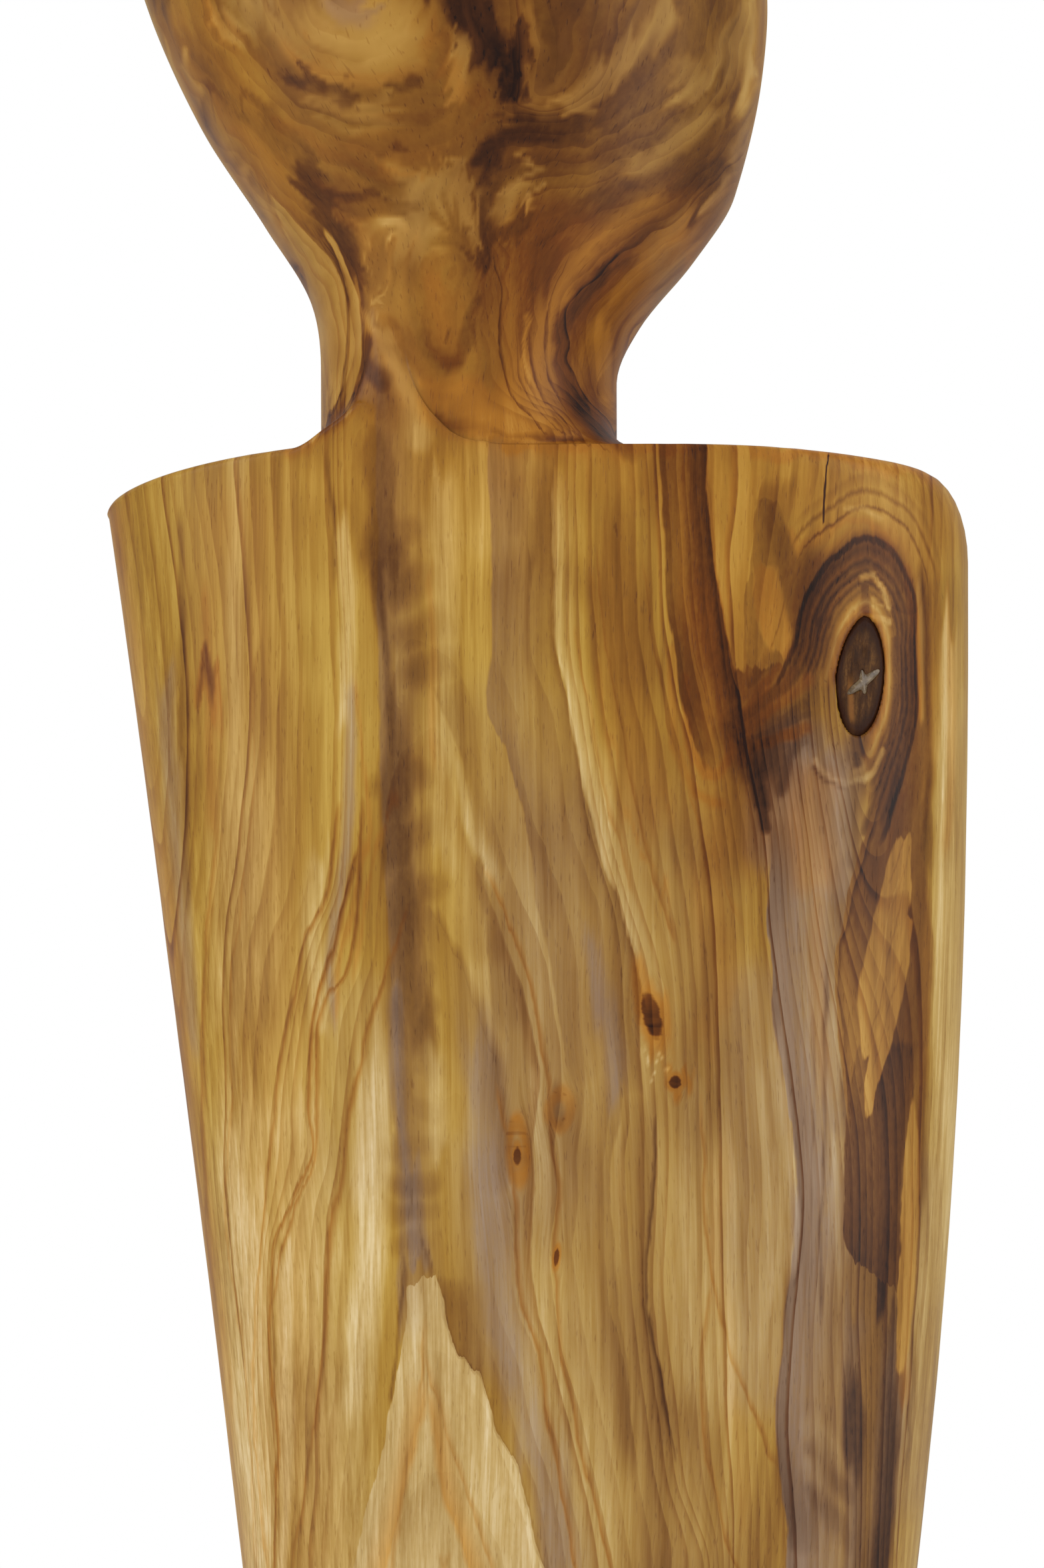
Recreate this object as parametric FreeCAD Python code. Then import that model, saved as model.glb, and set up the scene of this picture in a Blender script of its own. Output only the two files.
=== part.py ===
import FreeCAD, Part

# Carved ancestor figure that lifts off a pinned plinth. One STEP file per physical piece.
#
# Millimetres, +Z up. The origin is the centre of the underside of the felt. The figure faces -Y,
# and +X is on the right of someone who looks at its front.

import math
import os

from FreeCAD import Vector

# ---- Driving dimensions -------------------------------------------------------------------

# Plinth and felt
FELT_THICKNESS = 2.0
FELT_INSET = 3.0             # felt edge inside the plinth edge
PLINTH_WIDTH = 188.0
PLINTH_DEPTH = 124.0
PLINTH_HEIGHT = 36.0
PLINTH_EDGE_ROUND = 2.5
PLINTH_CORNER_ROUND = 6.0

# Steel pin that stands in the plinth and carries the figure
PIN_DIAMETER = 12.0
PIN_REACH = 70.0             # pin above the plinth
PIN_TIP_CHAMFER = 1.5
COLLAR_DIAMETER = 26.0
COLLAR_THICKNESS = 4.0
COLLAR_SINK = 0.5            # top of the collar below the top of the plinth
THREAD_DIAMETER = 10.0       # the thread is a plain cylinder of its outer diameter
THREAD_END = 1.5             # thread's end above the underside of the plinth
NUT_ACROSS_FLATS = 17.0
NUT_HEIGHT = 8.0
WASHER_DIAMETER = 24.0
WASHER_THICKNESS = 2.0
RECESS_DIAMETER = 30.0       # in the underside of the plinth, for washer, nut and spanner
RECESS_DEPTH = 13.0

# Brass sleeve bonded into the foot of the figure, and the dowel that stops the figure turning
SLEEVE_WALL = 2.0
SLEEVE_HEADROOM = 6.0        # sleeve beyond the tip of the pin
DOWEL_DIAMETER = 6.0
DOWEL_REACH = 10.0           # dowel above the plinth
DOWEL_BURY = 14.0            # dowel inside the plinth
DOWEL_OFFSET = 30.0          # from the pin's axis towards -X

# Clearances
RUNNING_CLEARANCE = 0.05     # radial: pin in sleeve, dowel in the figure, nut on thread
DRILL_CLEARANCE = 0.1        # radial: pin, collar and dowel in the plinth
BOND_LINE = 0.1              # glue film round the sleeve, the knot and the resin
END_ROOM = 2.0               # above the ends of sleeve and dowel inside the figure

# Torso. Left and right are reaches from the plinth's centre line, as seen from the front.
TORSO_HEIGHT = 336.0
FOOT_LEFT = 43.5
FOOT_RIGHT = 54.0
FOOT_FRONT = 34.0
FOOT_BACK = 31.0
FOOT_ROUND = 1.6
SHOULDER_LEFT = 84.2
SHOULDER_RIGHT = 82.3
SHOULDER_FRONT = 41.0
SHOULDER_BACK = 37.0
LEFT_HOLLOW = 1.7            # how far the left side lies inside a straight line
FRONT_BELLY = 4.5            # how far the front swells beyond a straight line
BACK_BELLY = 5.0

# Shoulder edge
LEFT_SHOULDER_DROP = 9.3
RIGHT_SHOULDER_DROP = 4.3
BACK_SHOULDER_DROP = 3.0
RIDGE_CLIMB = 11.5           # climb of the front edge onto the neck's front left
FLUSH_SLOPE = 14.0           # half the height over which the torso's front runs into the neck's
FRONT_EDGE_ROUND = 1.4
BACK_EDGE_ROUND = 5.0
LEFT_EDGE_ROUND = 2.4
RIGHT_EDGE_ROUND = 8.0       # inwards; downwards it is twice as much

# Neck and head
NECK_HEIGHT = 28.0
NECK_LEFT = 41.7
NECK_RIGHT = 14.9
NECK_FRONT = 39.8
NECK_BACK = 19.0
COVE_RADIUS = 6.5
FRONT_COVE_RADIUS = 12.0
HEAD_HEIGHT = 151.0
HEAD_LEFT = 80.5
HEAD_RIGHT = 43.7
HEAD_FRONT = 53.0
HEAD_BACK = 50.0
CROWN_LEAN = 13.0            # how far the crown leans from the middle of the brow towards -X

# Dead knot in the front of the torso, and the resin that fills its star-shaped crack
KNOT_WIDTH = 9.4
KNOT_LENGTH = 23.0
KNOT_DEPTH = 16.0
KNOT_TILT = 3.5              # degrees, top towards +X
KNOT_ACROSS = 60.0           # from the centre line
KNOT_BELOW_SHOULDER = 43.3
CRACK_WIDTH = 1.5
CRACK_LONG_ARM = 8.6
CRACK_SHORT_ARM = 5.2
CRACK_LONG_TURN = 54.0       # degrees from upright towards +X
CRACK_SHORT_TURN = -7.0
CRACK_ACROSS = 0.6           # from the centre of the knot
CRACK_DROP = 1.1
CRACK_DEPTH = 4.0

# Form without a length: shares of a height, squareness of an outline, fineness of the skin
WIDEST_SHARE = 0.875         # height of the right side's widest place in the torso
BROW_SHARE = 0.55            # height of the head's roundest ring, where the crown starts
TORSO_SQUARENESS = 2.75
HEAD_SQUARENESS = 2.15
NECK_FULLNESS = 1.5
COLUMNS = 72
SIDE_ROWS = 14
ROUND_ROWS = 4
NECK_ROWS = 4
HEAD_ROWS = 9
CROWN_ROWS = 8

# ---- Levels and places worked out from them -----------------------------------------------

PLINTH_TOP = FELT_THICKNESS + PLINTH_HEIGHT
SHOULDER_LEVEL = PLINTH_TOP + TORSO_HEIGHT
WAIST_LEVEL = SHOULDER_LEVEL + 0.45 * NECK_HEIGHT
JAW_LEVEL = SHOULDER_LEVEL + NECK_HEIGHT
BROW_LEVEL = JAW_LEVEL + BROW_SHARE * HEAD_HEIGHT
CROWN_LEVEL = JAW_LEVEL + HEAD_HEIGHT
PIN_X = (FOOT_RIGHT - FOOT_LEFT) / 2
PIN_Y = (FOOT_BACK - FOOT_FRONT) / 2
DOWEL_X = PIN_X - DOWEL_OFFSET
KNOT_LEVEL = SHOULDER_LEVEL - KNOT_BELOW_SHOULDER
SLEEVE_BORE = PIN_DIAMETER / 2 + RUNNING_CLEARANCE
SLEEVE_OUTER = SLEEVE_BORE + SLEEVE_WALL
SLEEVE_LENGTH = PIN_REACH + SLEEVE_HEADROOM
COLLAR_BOTTOM = PLINTH_TOP - COLLAR_SINK - COLLAR_THICKNESS
RECESS_TOP = FELT_THICKNESS + RECESS_DEPTH


# ---- Small helpers ------------------------------------------------------------------------

def ease(share):
    """From 0 to 1 with level ends."""
    share = min(max(share, 0.0), 1.0)
    return share * share * (3 - 2 * share)


def through(points, place):
    """Smooth curve through (place, value) points in order, level at its ends and beyond."""
    places = [point[0] for point in points]
    values = [point[1] for point in points]
    if place <= places[0]:
        return values[0]
    if place >= places[-1]:
        return values[-1]
    slopes = [0.0]
    for k in range(1, len(points) - 1):
        slopes.append((values[k + 1] - values[k - 1]) / (places[k + 1] - places[k - 1]))
    slopes.append(0.0)
    k = max(i for i in range(len(points) - 1) if places[i] <= place)
    span = places[k + 1] - places[k]
    t = (place - places[k]) / span
    start = values[k] * (1 + 2 * t) + slopes[k] * span * t
    end = values[k + 1] * (3 - 2 * t) - slopes[k + 1] * span * (1 - t)
    return start * (1 - t) ** 2 + end * t ** 2


def quarter(count):
    """(sine, cosine) at even steps from 0 to 90 degrees, both ends included."""
    turns = [math.pi / 2 * k / (count - 1) for k in range(count)]
    return [(math.sin(turn), math.cos(turn)) for turn in turns]


def cylinder(radius, height, x, y, level):
    return Part.makeCylinder(radius, height, Vector(x, y, level))


def rounded_plate(width, depth, height, corner, level):
    plate = Part.makeBox(width, depth, height, Vector(-width / 2, -depth / 2, level))
    upright = [edge for edge in plate.Edges if edge.BoundBox.ZLength > height / 2]
    return plate.makeFillet(corner, upright)


# ---- The figure's form --------------------------------------------------------------------

def ring_point(angle, left, right, front, back, squareness):
    """Point at an angle on a rounded outline that reaches so far on its four sides."""
    reach = (abs(2 * math.cos(angle) / (right + left)) ** squareness
             + abs(2 * math.sin(angle) / (back + front)) ** squareness) ** (-1 / squareness)
    x = (right - left) / 2 + reach * math.cos(angle)
    y = (back - front) / 2 + reach * math.sin(angle)
    return x, y


def torso_point(angle, level):
    share = min(max((level - PLINTH_TOP) / TORSO_HEIGHT, 0.0), 1.0)
    swell = 4 * share * (1 - share)
    below_widest = max(1 - share / WIDEST_SHARE, 0.0)
    left = FOOT_LEFT + (SHOULDER_LEFT - FOOT_LEFT) * share - LEFT_HOLLOW * swell
    right = SHOULDER_RIGHT - (SHOULDER_RIGHT - FOOT_RIGHT) * below_widest ** 2
    front = FOOT_FRONT + (SHOULDER_FRONT - FOOT_FRONT) * share + FRONT_BELLY * swell
    back = FOOT_BACK + (SHOULDER_BACK - FOOT_BACK) * share + BACK_BELLY * swell
    # fullest in its front left quarter, roundest in its back right one
    squareness = TORSO_SQUARENESS - 0.3 * math.cos(angle) - 0.35 * math.sin(angle)
    return ring_point(angle, left, right, front, back, squareness)


def head_point(angle, level):
    """Point of the neck or head, up to the brow."""
    def flank(waist, waist_reach, *shares_and_reaches):
        upper = [(JAW_LEVEL + share * HEAD_HEIGHT, reach) for share, reach in shares_and_reaches]
        return through([(waist, waist_reach)] + upper, level)

    past_brow = BROW_SHARE + 0.2
    left = flank(WAIST_LEVEL, NECK_LEFT, (0.0, NECK_LEFT + 1.9), (0.1, 0.655 * HEAD_LEFT),
                 (0.23, 0.81 * HEAD_LEFT), (0.4, 0.948 * HEAD_LEFT), (BROW_SHARE, HEAD_LEFT),
                 (past_brow, 1.06 * HEAD_LEFT))
    right = flank(WAIST_LEVEL, NECK_RIGHT, (-0.03, NECK_RIGHT + 4.5), (0.054, 0.68 * HEAD_RIGHT),
                  (0.138, 0.859 * HEAD_RIGHT), (0.35, HEAD_RIGHT),
                  (BROW_SHARE, 0.945 * HEAD_RIGHT), (past_brow, 0.83 * HEAD_RIGHT))
    front = flank(WAIST_LEVEL, NECK_FRONT, (0.0, NECK_FRONT + 1.5), (0.25, 0.91 * HEAD_FRONT),
                  (BROW_SHARE, HEAD_FRONT))
    back = flank(WAIST_LEVEL, NECK_BACK, (0.0, NECK_BACK + 4), (0.25, 0.79 * HEAD_BACK),
                 (BROW_SHARE, HEAD_BACK))
    # the neck's front left is full where it runs flush into the torso
    flush = max(math.cos(angle - math.radians(235)), 0.0) ** 3 * (1 - ease(
        (level - WAIST_LEVEL) / (BROW_LEVEL - WAIST_LEVEL)))
    squareness = HEAD_SQUARENESS + NECK_FULLNESS * flush
    return ring_point(angle, left, right, front, back, squareness)


def across_neck(angle):
    """Place on the torso's top edge: 0 at the neck's left flank, 1 at its right one."""
    return (torso_point(angle, SHOULDER_LEVEL)[0] + NECK_LEFT) / (NECK_LEFT + NECK_RIGHT)


def frontness(angle):
    return ease(0.5 - 1.5 * math.sin(angle))


def edge_level(angle):
    """Level of the torso's top edge: it falls to both ends and climbs onto the neck in front."""
    x = torso_point(angle, SHOULDER_LEVEL)[0]
    left_share = max((-x - NECK_LEFT) / (SHOULDER_LEFT - NECK_LEFT), 0.0)
    right_share = max((x - 2 * NECK_RIGHT) / (SHOULDER_RIGHT - 2 * NECK_RIGHT), 0.0)
    drop = LEFT_SHOULDER_DROP * (0.55 * left_share + 0.45 * left_share ** 3)
    drop += RIGHT_SHOULDER_DROP * right_share ** 1.8
    drop += BACK_SHOULDER_DROP * (1 - frontness(angle))
    climb = through([(-0.1, 0.0), (0.06, 0.4), (0.17, 0.83), (0.26, 1.0), (0.39, 0.62),
                     (0.49, 0.22), (0.58, 0.04), (0.68, 0.0)], across_neck(angle))
    return SHOULDER_LEVEL - drop + RIDGE_CLIMB * climb * frontness(angle)


def flush_share(angle):
    """1 where the torso's front runs into the neck's with no ledge, 0 away from there."""
    across = across_neck(angle)
    return ease((across - 0.12) / 0.14) * (1 - ease((across - 0.4) / 0.18)) * frontness(angle)


def edge_rounding(angle):
    """Rounding of the torso's top edge, as (inwards, downwards)."""
    right_end = max(math.cos(angle), 0.0) ** 10
    left_end = max(-math.cos(angle), 0.0) ** 6
    back = ease(0.5 + 1.5 * math.sin(angle))
    inwards = FRONT_EDGE_ROUND + (BACK_EDGE_ROUND - FRONT_EDGE_ROUND) * back
    inwards += (LEFT_EDGE_ROUND - inwards) * left_end
    inwards += (RIGHT_EDGE_ROUND - inwards) * right_end
    return inwards, inwards * (1 + right_end)


def cove_radius(angle):
    """Hollow between shoulder and neck, widest in front and to the right."""
    towards = max(math.cos(angle + math.radians(60)), 0.0)
    return COVE_RADIUS + (FRONT_COVE_RADIUS - COVE_RADIUS) * towards ** 4


def foot_points(angle):
    """The rounded arris at the sole."""
    x, y = torso_point(angle, PLINTH_TOP)
    reach = math.hypot(x - PIN_X, y - PIN_Y)
    points = []
    for inset, rise in ((1.0, 0.0), (0.4, 0.0), (0.0, 0.4)):
        shrink = 1 - FOOT_ROUND * inset / reach
        points.append(Vector(PIN_X + (x - PIN_X) * shrink, PIN_Y + (y - PIN_Y) * shrink,
                             PLINTH_TOP + FOOT_ROUND * rise))
    return points


def shoulder_points(angle):
    """Side, rounded edge, ledge and cove; returns them with the level where the neck starts."""
    edge = edge_level(angle)
    top = torso_point(angle, edge)
    flush = flush_share(angle)

    def ledge_to(level):
        """The neck's point at a level, and how far it lies from the edge."""
        neck = head_point(angle, level)
        return neck, math.hypot(neck[0] - top[0], neck[1] - top[1])

    # a narrow ledge has a small rounding and a small cove
    ledge = ledge_to(edge + cove_radius(angle))[1]
    inwards, downwards = edge_rounding(angle)
    fit = min(1.0, 0.35 * ledge / inwards)
    inwards, downwards = inwards * fit, downwards * fit
    hollow = min(cove_radius(angle), 0.55 * ledge)
    side_end = edge - downwards - (FLUSH_SLOPE - downwards) * flush
    neck_level = edge + hollow + (FLUSH_SLOPE - hollow) * flush
    neck, ledge = ledge_to(neck_level)

    points = []
    side_start = PLINTH_TOP + FOOT_ROUND
    for k in range(SIDE_ROWS):
        share = 1 - (1 - k / SIDE_ROWS) ** 1.7
        level = side_start + (side_end - side_start) * share
        points.append(Vector(*torso_point(angle, level), level))

    def add(progress, inset, height):
        """A point of the ledge, or of the plain slope that takes its place where it is flush."""
        inset += (ledge * ease(progress) - inset) * flush
        height += (FLUSH_SLOPE * (2 * progress - 1) - height) * flush
        share = inset / ledge
        points.append(Vector(top[0] + (neck[0] - top[0]) * share,
                             top[1] + (neck[1] - top[1]) * share, edge + height))

    steps = quarter(ROUND_ROWS)
    for k, (sine, cosine) in enumerate(steps):
        add(0.3 * k / (ROUND_ROWS - 1), inwards * (1 - cosine), downwards * (sine - 1))
    for share in (0.2, 0.5, 0.8):
        add(0.3 + 0.4 * share, inwards + (ledge - inwards - hollow) * share, 0.0)
    for k, (sine, cosine) in enumerate(steps):
        add(0.7 + 0.3 * k / (ROUND_ROWS - 1), ledge - hollow * (1 - sine), hollow * (1 - cosine))
    return points, neck_level


def head_points(angle, neck_level):
    points = []
    for k in range(1, NECK_ROWS + 1):
        level = neck_level + (JAW_LEVEL - neck_level) * k / NECK_ROWS
        points.append(Vector(*head_point(angle, level), level))
    for k in range(1, HEAD_ROWS + 1):
        level = JAW_LEVEL + (BROW_LEVEL - JAW_LEVEL) * k / HEAD_ROWS
        points.append(Vector(*head_point(angle, level), level))
    brow_x, brow_y = head_point(angle, BROW_LEVEL)
    across_x = [head_point(turn, BROW_LEVEL)[0] for turn in (0.0, math.pi)]
    across_y = [head_point(turn, BROW_LEVEL)[1] for turn in (math.pi / 2, -math.pi / 2)]
    middle_x, middle_y = sum(across_x) / 2, sum(across_y) / 2
    for sine, cosine in quarter(CROWN_ROWS)[1:]:
        points.append(Vector(middle_x - CROWN_LEAN * sine + (brow_x - middle_x) * cosine,
                             middle_y + (brow_y - middle_y) * cosine,
                             BROW_LEVEL + (CROWN_LEVEL - BROW_LEVEL) * sine))
    return points


def column(angle):
    """Control points up the skin at one angle, from the sole to the crown."""
    shoulder, neck_level = shoulder_points(angle)
    return foot_points(angle) + shoulder + head_points(angle, neck_level)


def column_angles():
    """Evenly spread round a slab that is wider than it is deep."""
    flatness = (SHOULDER_FRONT + SHOULDER_BACK) / (SHOULDER_LEFT + SHOULDER_RIGHT)
    turns = [2 * math.pi * k / COLUMNS for k in range(COLUMNS)]
    return [math.atan2((1 + flatness) / 2 * math.sin(turn), math.cos(turn)) for turn in turns]


def figure_block():
    """The whole carved form as one solid: a spline skin closed by the flat sole."""
    net = [column(angle) for angle in column_angles()]
    rows = len(net[0])
    degree = 3
    skin = Part.BSplineSurface()
    skin.buildFromPolesMultsKnots(
        net, [1] * (COLUMNS + 1), [degree + 1] + [1] * (rows - degree - 1) + [degree + 1],
        [float(k) for k in range(COLUMNS + 1)], [float(k) for k in range(rows - degree + 1)],
        True, False, degree, degree)
    skin_face = skin.toShape()
    rim = min(skin_face.Edges, key=lambda edge: edge.BoundBox.ZMax)
    sole = Part.Face(Part.Wire([rim]))
    shell = Part.Compound([skin_face, sole])
    shell.sewShape()
    return Part.Solid(shell.Shells[0])


def front_surface(across, level):
    """Y of the torso's front at a place; the polar outline is searched for that X."""
    low, high = math.pi, 2 * math.pi
    for _ in range(50):
        middle = (low + high) / 2
        if torso_point(middle, level)[0] < across:
            low = middle
        else:
            high = middle
    return torso_point(low, level)[1]


# ---- Pieces -------------------------------------------------------------------------------

def knot_prism(grow):
    """Oval plug that enters the front along +Y and narrows by a tenth, grown by a margin."""
    front = front_surface(KNOT_ACROSS, KNOT_LEVEL)
    half_long, half_wide = KNOT_LENGTH / 2 + grow, KNOT_WIDTH / 2 + grow
    start, end = front - KNOT_DEPTH, front + KNOT_DEPTH + grow
    wires = []
    for y, taper in ((start, 1.0), (end, 0.9)):
        oval = Part.Ellipse(Vector(0, 0, 0), half_long * taper, half_wide * taper).toShape()
        wire = Part.Wire([oval])
        wire.rotate(Vector(0, 0, 0), Vector(1, 0, 0), 90)
        wire.rotate(Vector(0, 0, 0), Vector(0, 1, 0), 90 + KNOT_TILT)
        wire.translate(Vector(KNOT_ACROSS, y, KNOT_LEVEL))
        wires.append(wire)
    return Part.makeLoft(wires, True, True)


def crack_prism(grow):
    """Star of two slots through the knot's face, grown by a margin."""
    front = front_surface(KNOT_ACROSS, KNOT_LEVEL)
    length = KNOT_DEPTH + CRACK_DEPTH + grow
    bars = []
    for turn, reach in ((CRACK_LONG_TURN, CRACK_LONG_ARM), (CRACK_SHORT_TURN, CRACK_SHORT_ARM)):
        wide, tall = CRACK_WIDTH + 2 * grow, reach + 2 * grow
        bar = Part.makeBox(wide, length, tall, Vector(-wide / 2, 0, -tall / 2))
        bar.rotate(Vector(0, 0, 0), Vector(0, 1, 0), turn)
        bar.translate(Vector(KNOT_ACROSS + CRACK_ACROSS, front - KNOT_DEPTH,
                             KNOT_LEVEL - CRACK_DROP))
        bars.append(bar)
    return bars[0].fuse(bars[1])


def carved_figure(block):
    bore = cylinder(SLEEVE_OUTER + BOND_LINE, SLEEVE_LENGTH + END_ROOM, PIN_X, PIN_Y, PLINTH_TOP)
    dowel_hole = cylinder(DOWEL_DIAMETER / 2 + RUNNING_CLEARANCE, DOWEL_REACH + END_ROOM,
                          DOWEL_X, PIN_Y, PLINTH_TOP)
    return block.cut(bore).cut(dowel_hole).cut(knot_prism(BOND_LINE))


def dead_knot(block):
    return block.common(knot_prism(0.0)).cut(crack_prism(BOND_LINE))


def crack_resin(block):
    return block.common(knot_prism(0.0)).common(crack_prism(0.0))


def pin_sleeve():
    outer = cylinder(SLEEVE_OUTER, SLEEVE_LENGTH, PIN_X, PIN_Y, PLINTH_TOP)
    return outer.cut(cylinder(SLEEVE_BORE, SLEEVE_LENGTH, PIN_X, PIN_Y, PLINTH_TOP))


def mounting_pin():
    thread_bottom = FELT_THICKNESS + THREAD_END
    thread = cylinder(THREAD_DIAMETER / 2, COLLAR_BOTTOM - thread_bottom, PIN_X, PIN_Y,
                      thread_bottom)
    collar = cylinder(COLLAR_DIAMETER / 2, COLLAR_THICKNESS, PIN_X, PIN_Y, COLLAR_BOTTOM)
    shank_bottom = COLLAR_BOTTOM + COLLAR_THICKNESS
    straight = PLINTH_TOP + PIN_REACH - PIN_TIP_CHAMFER - shank_bottom
    shank = cylinder(PIN_DIAMETER / 2, straight, PIN_X, PIN_Y, shank_bottom)
    tip = Part.makeCone(PIN_DIAMETER / 2, PIN_DIAMETER / 2 - PIN_TIP_CHAMFER, PIN_TIP_CHAMFER,
                        Vector(PIN_X, PIN_Y, shank_bottom + straight))
    return thread.fuse([collar, shank, tip]).removeSplitter()


def pin_washer():
    level = RECESS_TOP - WASHER_THICKNESS
    disc = cylinder(WASHER_DIAMETER / 2, WASHER_THICKNESS, PIN_X, PIN_Y, level)
    hole = THREAD_DIAMETER / 2 + DRILL_CLEARANCE
    return disc.cut(cylinder(hole, WASHER_THICKNESS, PIN_X, PIN_Y, level))


def pin_nut():
    level = RECESS_TOP - WASHER_THICKNESS - NUT_HEIGHT
    corner = NUT_ACROSS_FLATS / math.sqrt(3)
    turns = [math.radians(60 * k) for k in range(7)]
    outline = Part.makePolygon([Vector(PIN_X + corner * math.cos(turn),
                                       PIN_Y + corner * math.sin(turn), level)
                                for turn in turns])
    prism = Part.Face(outline).extrude(Vector(0, 0, NUT_HEIGHT))
    hole = THREAD_DIAMETER / 2 + RUNNING_CLEARANCE
    return prism.cut(cylinder(hole, NUT_HEIGHT, PIN_X, PIN_Y, level))


def turning_stop():
    return cylinder(DOWEL_DIAMETER / 2, DOWEL_BURY + DOWEL_REACH, DOWEL_X, PIN_Y,
                    PLINTH_TOP - DOWEL_BURY)


def plinth():
    block = rounded_plate(PLINTH_WIDTH, PLINTH_DEPTH, PLINTH_HEIGHT, PLINTH_CORNER_ROUND,
                          FELT_THICKNESS)
    rims = [edge for edge in block.Edges if edge.BoundBox.ZLength < PLINTH_EDGE_ROUND / 2]
    block = block.makeFillet(PLINTH_EDGE_ROUND, rims)
    thread_hole = cylinder(THREAD_DIAMETER / 2 + DRILL_CLEARANCE, PLINTH_HEIGHT, PIN_X, PIN_Y,
                           FELT_THICKNESS)
    collar_seat = cylinder(COLLAR_DIAMETER / 2 + DRILL_CLEARANCE, PLINTH_HEIGHT, PIN_X, PIN_Y,
                           COLLAR_BOTTOM)
    recess = cylinder(RECESS_DIAMETER / 2, RECESS_DEPTH, PIN_X, PIN_Y, FELT_THICKNESS)
    dowel_hole = cylinder(DOWEL_DIAMETER / 2 + DRILL_CLEARANCE, PLINTH_HEIGHT, DOWEL_X, PIN_Y,
                          PLINTH_TOP - DOWEL_BURY)
    return block.cut([thread_hole, collar_seat, recess, dowel_hole])


def base_felt():
    return rounded_plate(PLINTH_WIDTH - 2 * FELT_INSET, PLINTH_DEPTH - 2 * FELT_INSET,
                         FELT_THICKNESS, PLINTH_CORNER_ROUND, 0.0)


def main():
    block = figure_block()
    pieces = {
        "carved_figure": carved_figure(block),
        "dead_knot": dead_knot(block),
        "crack_resin": crack_resin(block),
        "pin_sleeve": pin_sleeve(),
        "mounting_pin": mounting_pin(),
        "pin_washer": pin_washer(),
        "pin_nut": pin_nut(),
        "turning_stop": turning_stop(),
        "plinth": plinth(),
        "base_felt": base_felt(),
    }
    os.makedirs("parts", exist_ok=True)
    for name, shape in pieces.items():
        shape.exportStep("parts/" + name + ".step")
        box = shape.BoundBox
        print(f"{name}: valid {shape.isValid()}, solids {len(shape.Solids)}, "
              f"volume {shape.Volume:.0f}, x {box.XMin:.1f} to {box.XMax:.1f}, "
              f"y {box.YMin:.1f} to {box.YMax:.1f}, z {box.ZMin:.1f} to {box.ZMax:.1f}")


main()
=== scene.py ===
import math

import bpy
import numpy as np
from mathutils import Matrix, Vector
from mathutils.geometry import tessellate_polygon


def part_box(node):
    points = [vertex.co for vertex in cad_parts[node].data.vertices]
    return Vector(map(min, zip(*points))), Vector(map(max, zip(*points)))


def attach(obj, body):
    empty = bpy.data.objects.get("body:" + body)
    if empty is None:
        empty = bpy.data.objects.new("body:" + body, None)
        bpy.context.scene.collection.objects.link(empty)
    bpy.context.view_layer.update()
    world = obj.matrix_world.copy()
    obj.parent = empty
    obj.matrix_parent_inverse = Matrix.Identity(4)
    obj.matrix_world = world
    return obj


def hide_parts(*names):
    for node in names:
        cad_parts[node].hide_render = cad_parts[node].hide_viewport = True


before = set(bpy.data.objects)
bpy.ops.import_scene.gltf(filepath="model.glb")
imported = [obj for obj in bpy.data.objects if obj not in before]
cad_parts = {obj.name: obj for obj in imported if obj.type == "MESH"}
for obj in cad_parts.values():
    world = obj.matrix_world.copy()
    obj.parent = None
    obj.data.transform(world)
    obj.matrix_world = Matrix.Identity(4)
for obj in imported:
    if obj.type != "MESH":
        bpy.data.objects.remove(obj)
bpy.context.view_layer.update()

# Looks of the carved ancestor figure on its plinth. The figure's skin is the same form as the
# CAD solid, sampled finely, and its wood is painted onto that skin in two steps: arrays hold the
# course of the grain and the stains, with some painted highlight and shade, at every point, and
# the shader adds rings, fibres, pores and a painted sheen.
# Lengths are millimetres until a mesh is made. The figure faces -Y.

MM = 0.001

# ---- Sizes of the carving, as in the part's source ----------------------------------------

PLINTH_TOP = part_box("plinth")[1][2] / MM
TORSO_HEIGHT = 336.0
SHOULDER_LEVEL = PLINTH_TOP + TORSO_HEIGHT
NECK_HEIGHT = 28.0
WAIST_LEVEL = SHOULDER_LEVEL + 0.45 * NECK_HEIGHT
JAW_LEVEL = SHOULDER_LEVEL + NECK_HEIGHT
HEAD_HEIGHT = 151.0
BROW_SHARE = 0.55
BROW_LEVEL = JAW_LEVEL + BROW_SHARE * HEAD_HEIGHT
CROWN_LEVEL = JAW_LEVEL + HEAD_HEIGHT
CROWN_LEAN = 13.0
FOOT_LEFT, FOOT_RIGHT, FOOT_FRONT, FOOT_BACK, FOOT_ROUND = 43.5, 54.0, 34.0, 31.0, 1.6
SHOULDER_LEFT, SHOULDER_RIGHT, SHOULDER_FRONT, SHOULDER_BACK = 84.2, 82.3, 41.0, 37.0
NECK_LEFT, NECK_RIGHT, NECK_FRONT, NECK_BACK = 41.7, 14.9, 39.8, 19.0
HEAD_LEFT, HEAD_RIGHT, HEAD_FRONT, HEAD_BACK = 80.5, 43.7, 53.0, 50.0
LEFT_SHOULDER_DROP, RIGHT_SHOULDER_DROP, BACK_SHOULDER_DROP = 9.3, 4.3, 3.0
RIDGE_CLIMB, FLUSH_SLOPE = 11.5, 14.0
FRONT_EDGE_ROUND, BACK_EDGE_ROUND, LEFT_EDGE_ROUND, RIGHT_EDGE_ROUND = 1.4, 5.0, 2.4, 8.0
COVE_RADIUS, FRONT_COVE_RADIUS = 6.5, 12.0
KNOT_X, KNOT_Z = 60.0, SHOULDER_LEVEL - 43.3
KNOT_WIDTH, KNOT_LENGTH, KNOT_DEPTH, KNOT_TILT = 9.4, 23.0, 16.0, math.radians(3.5)
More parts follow.
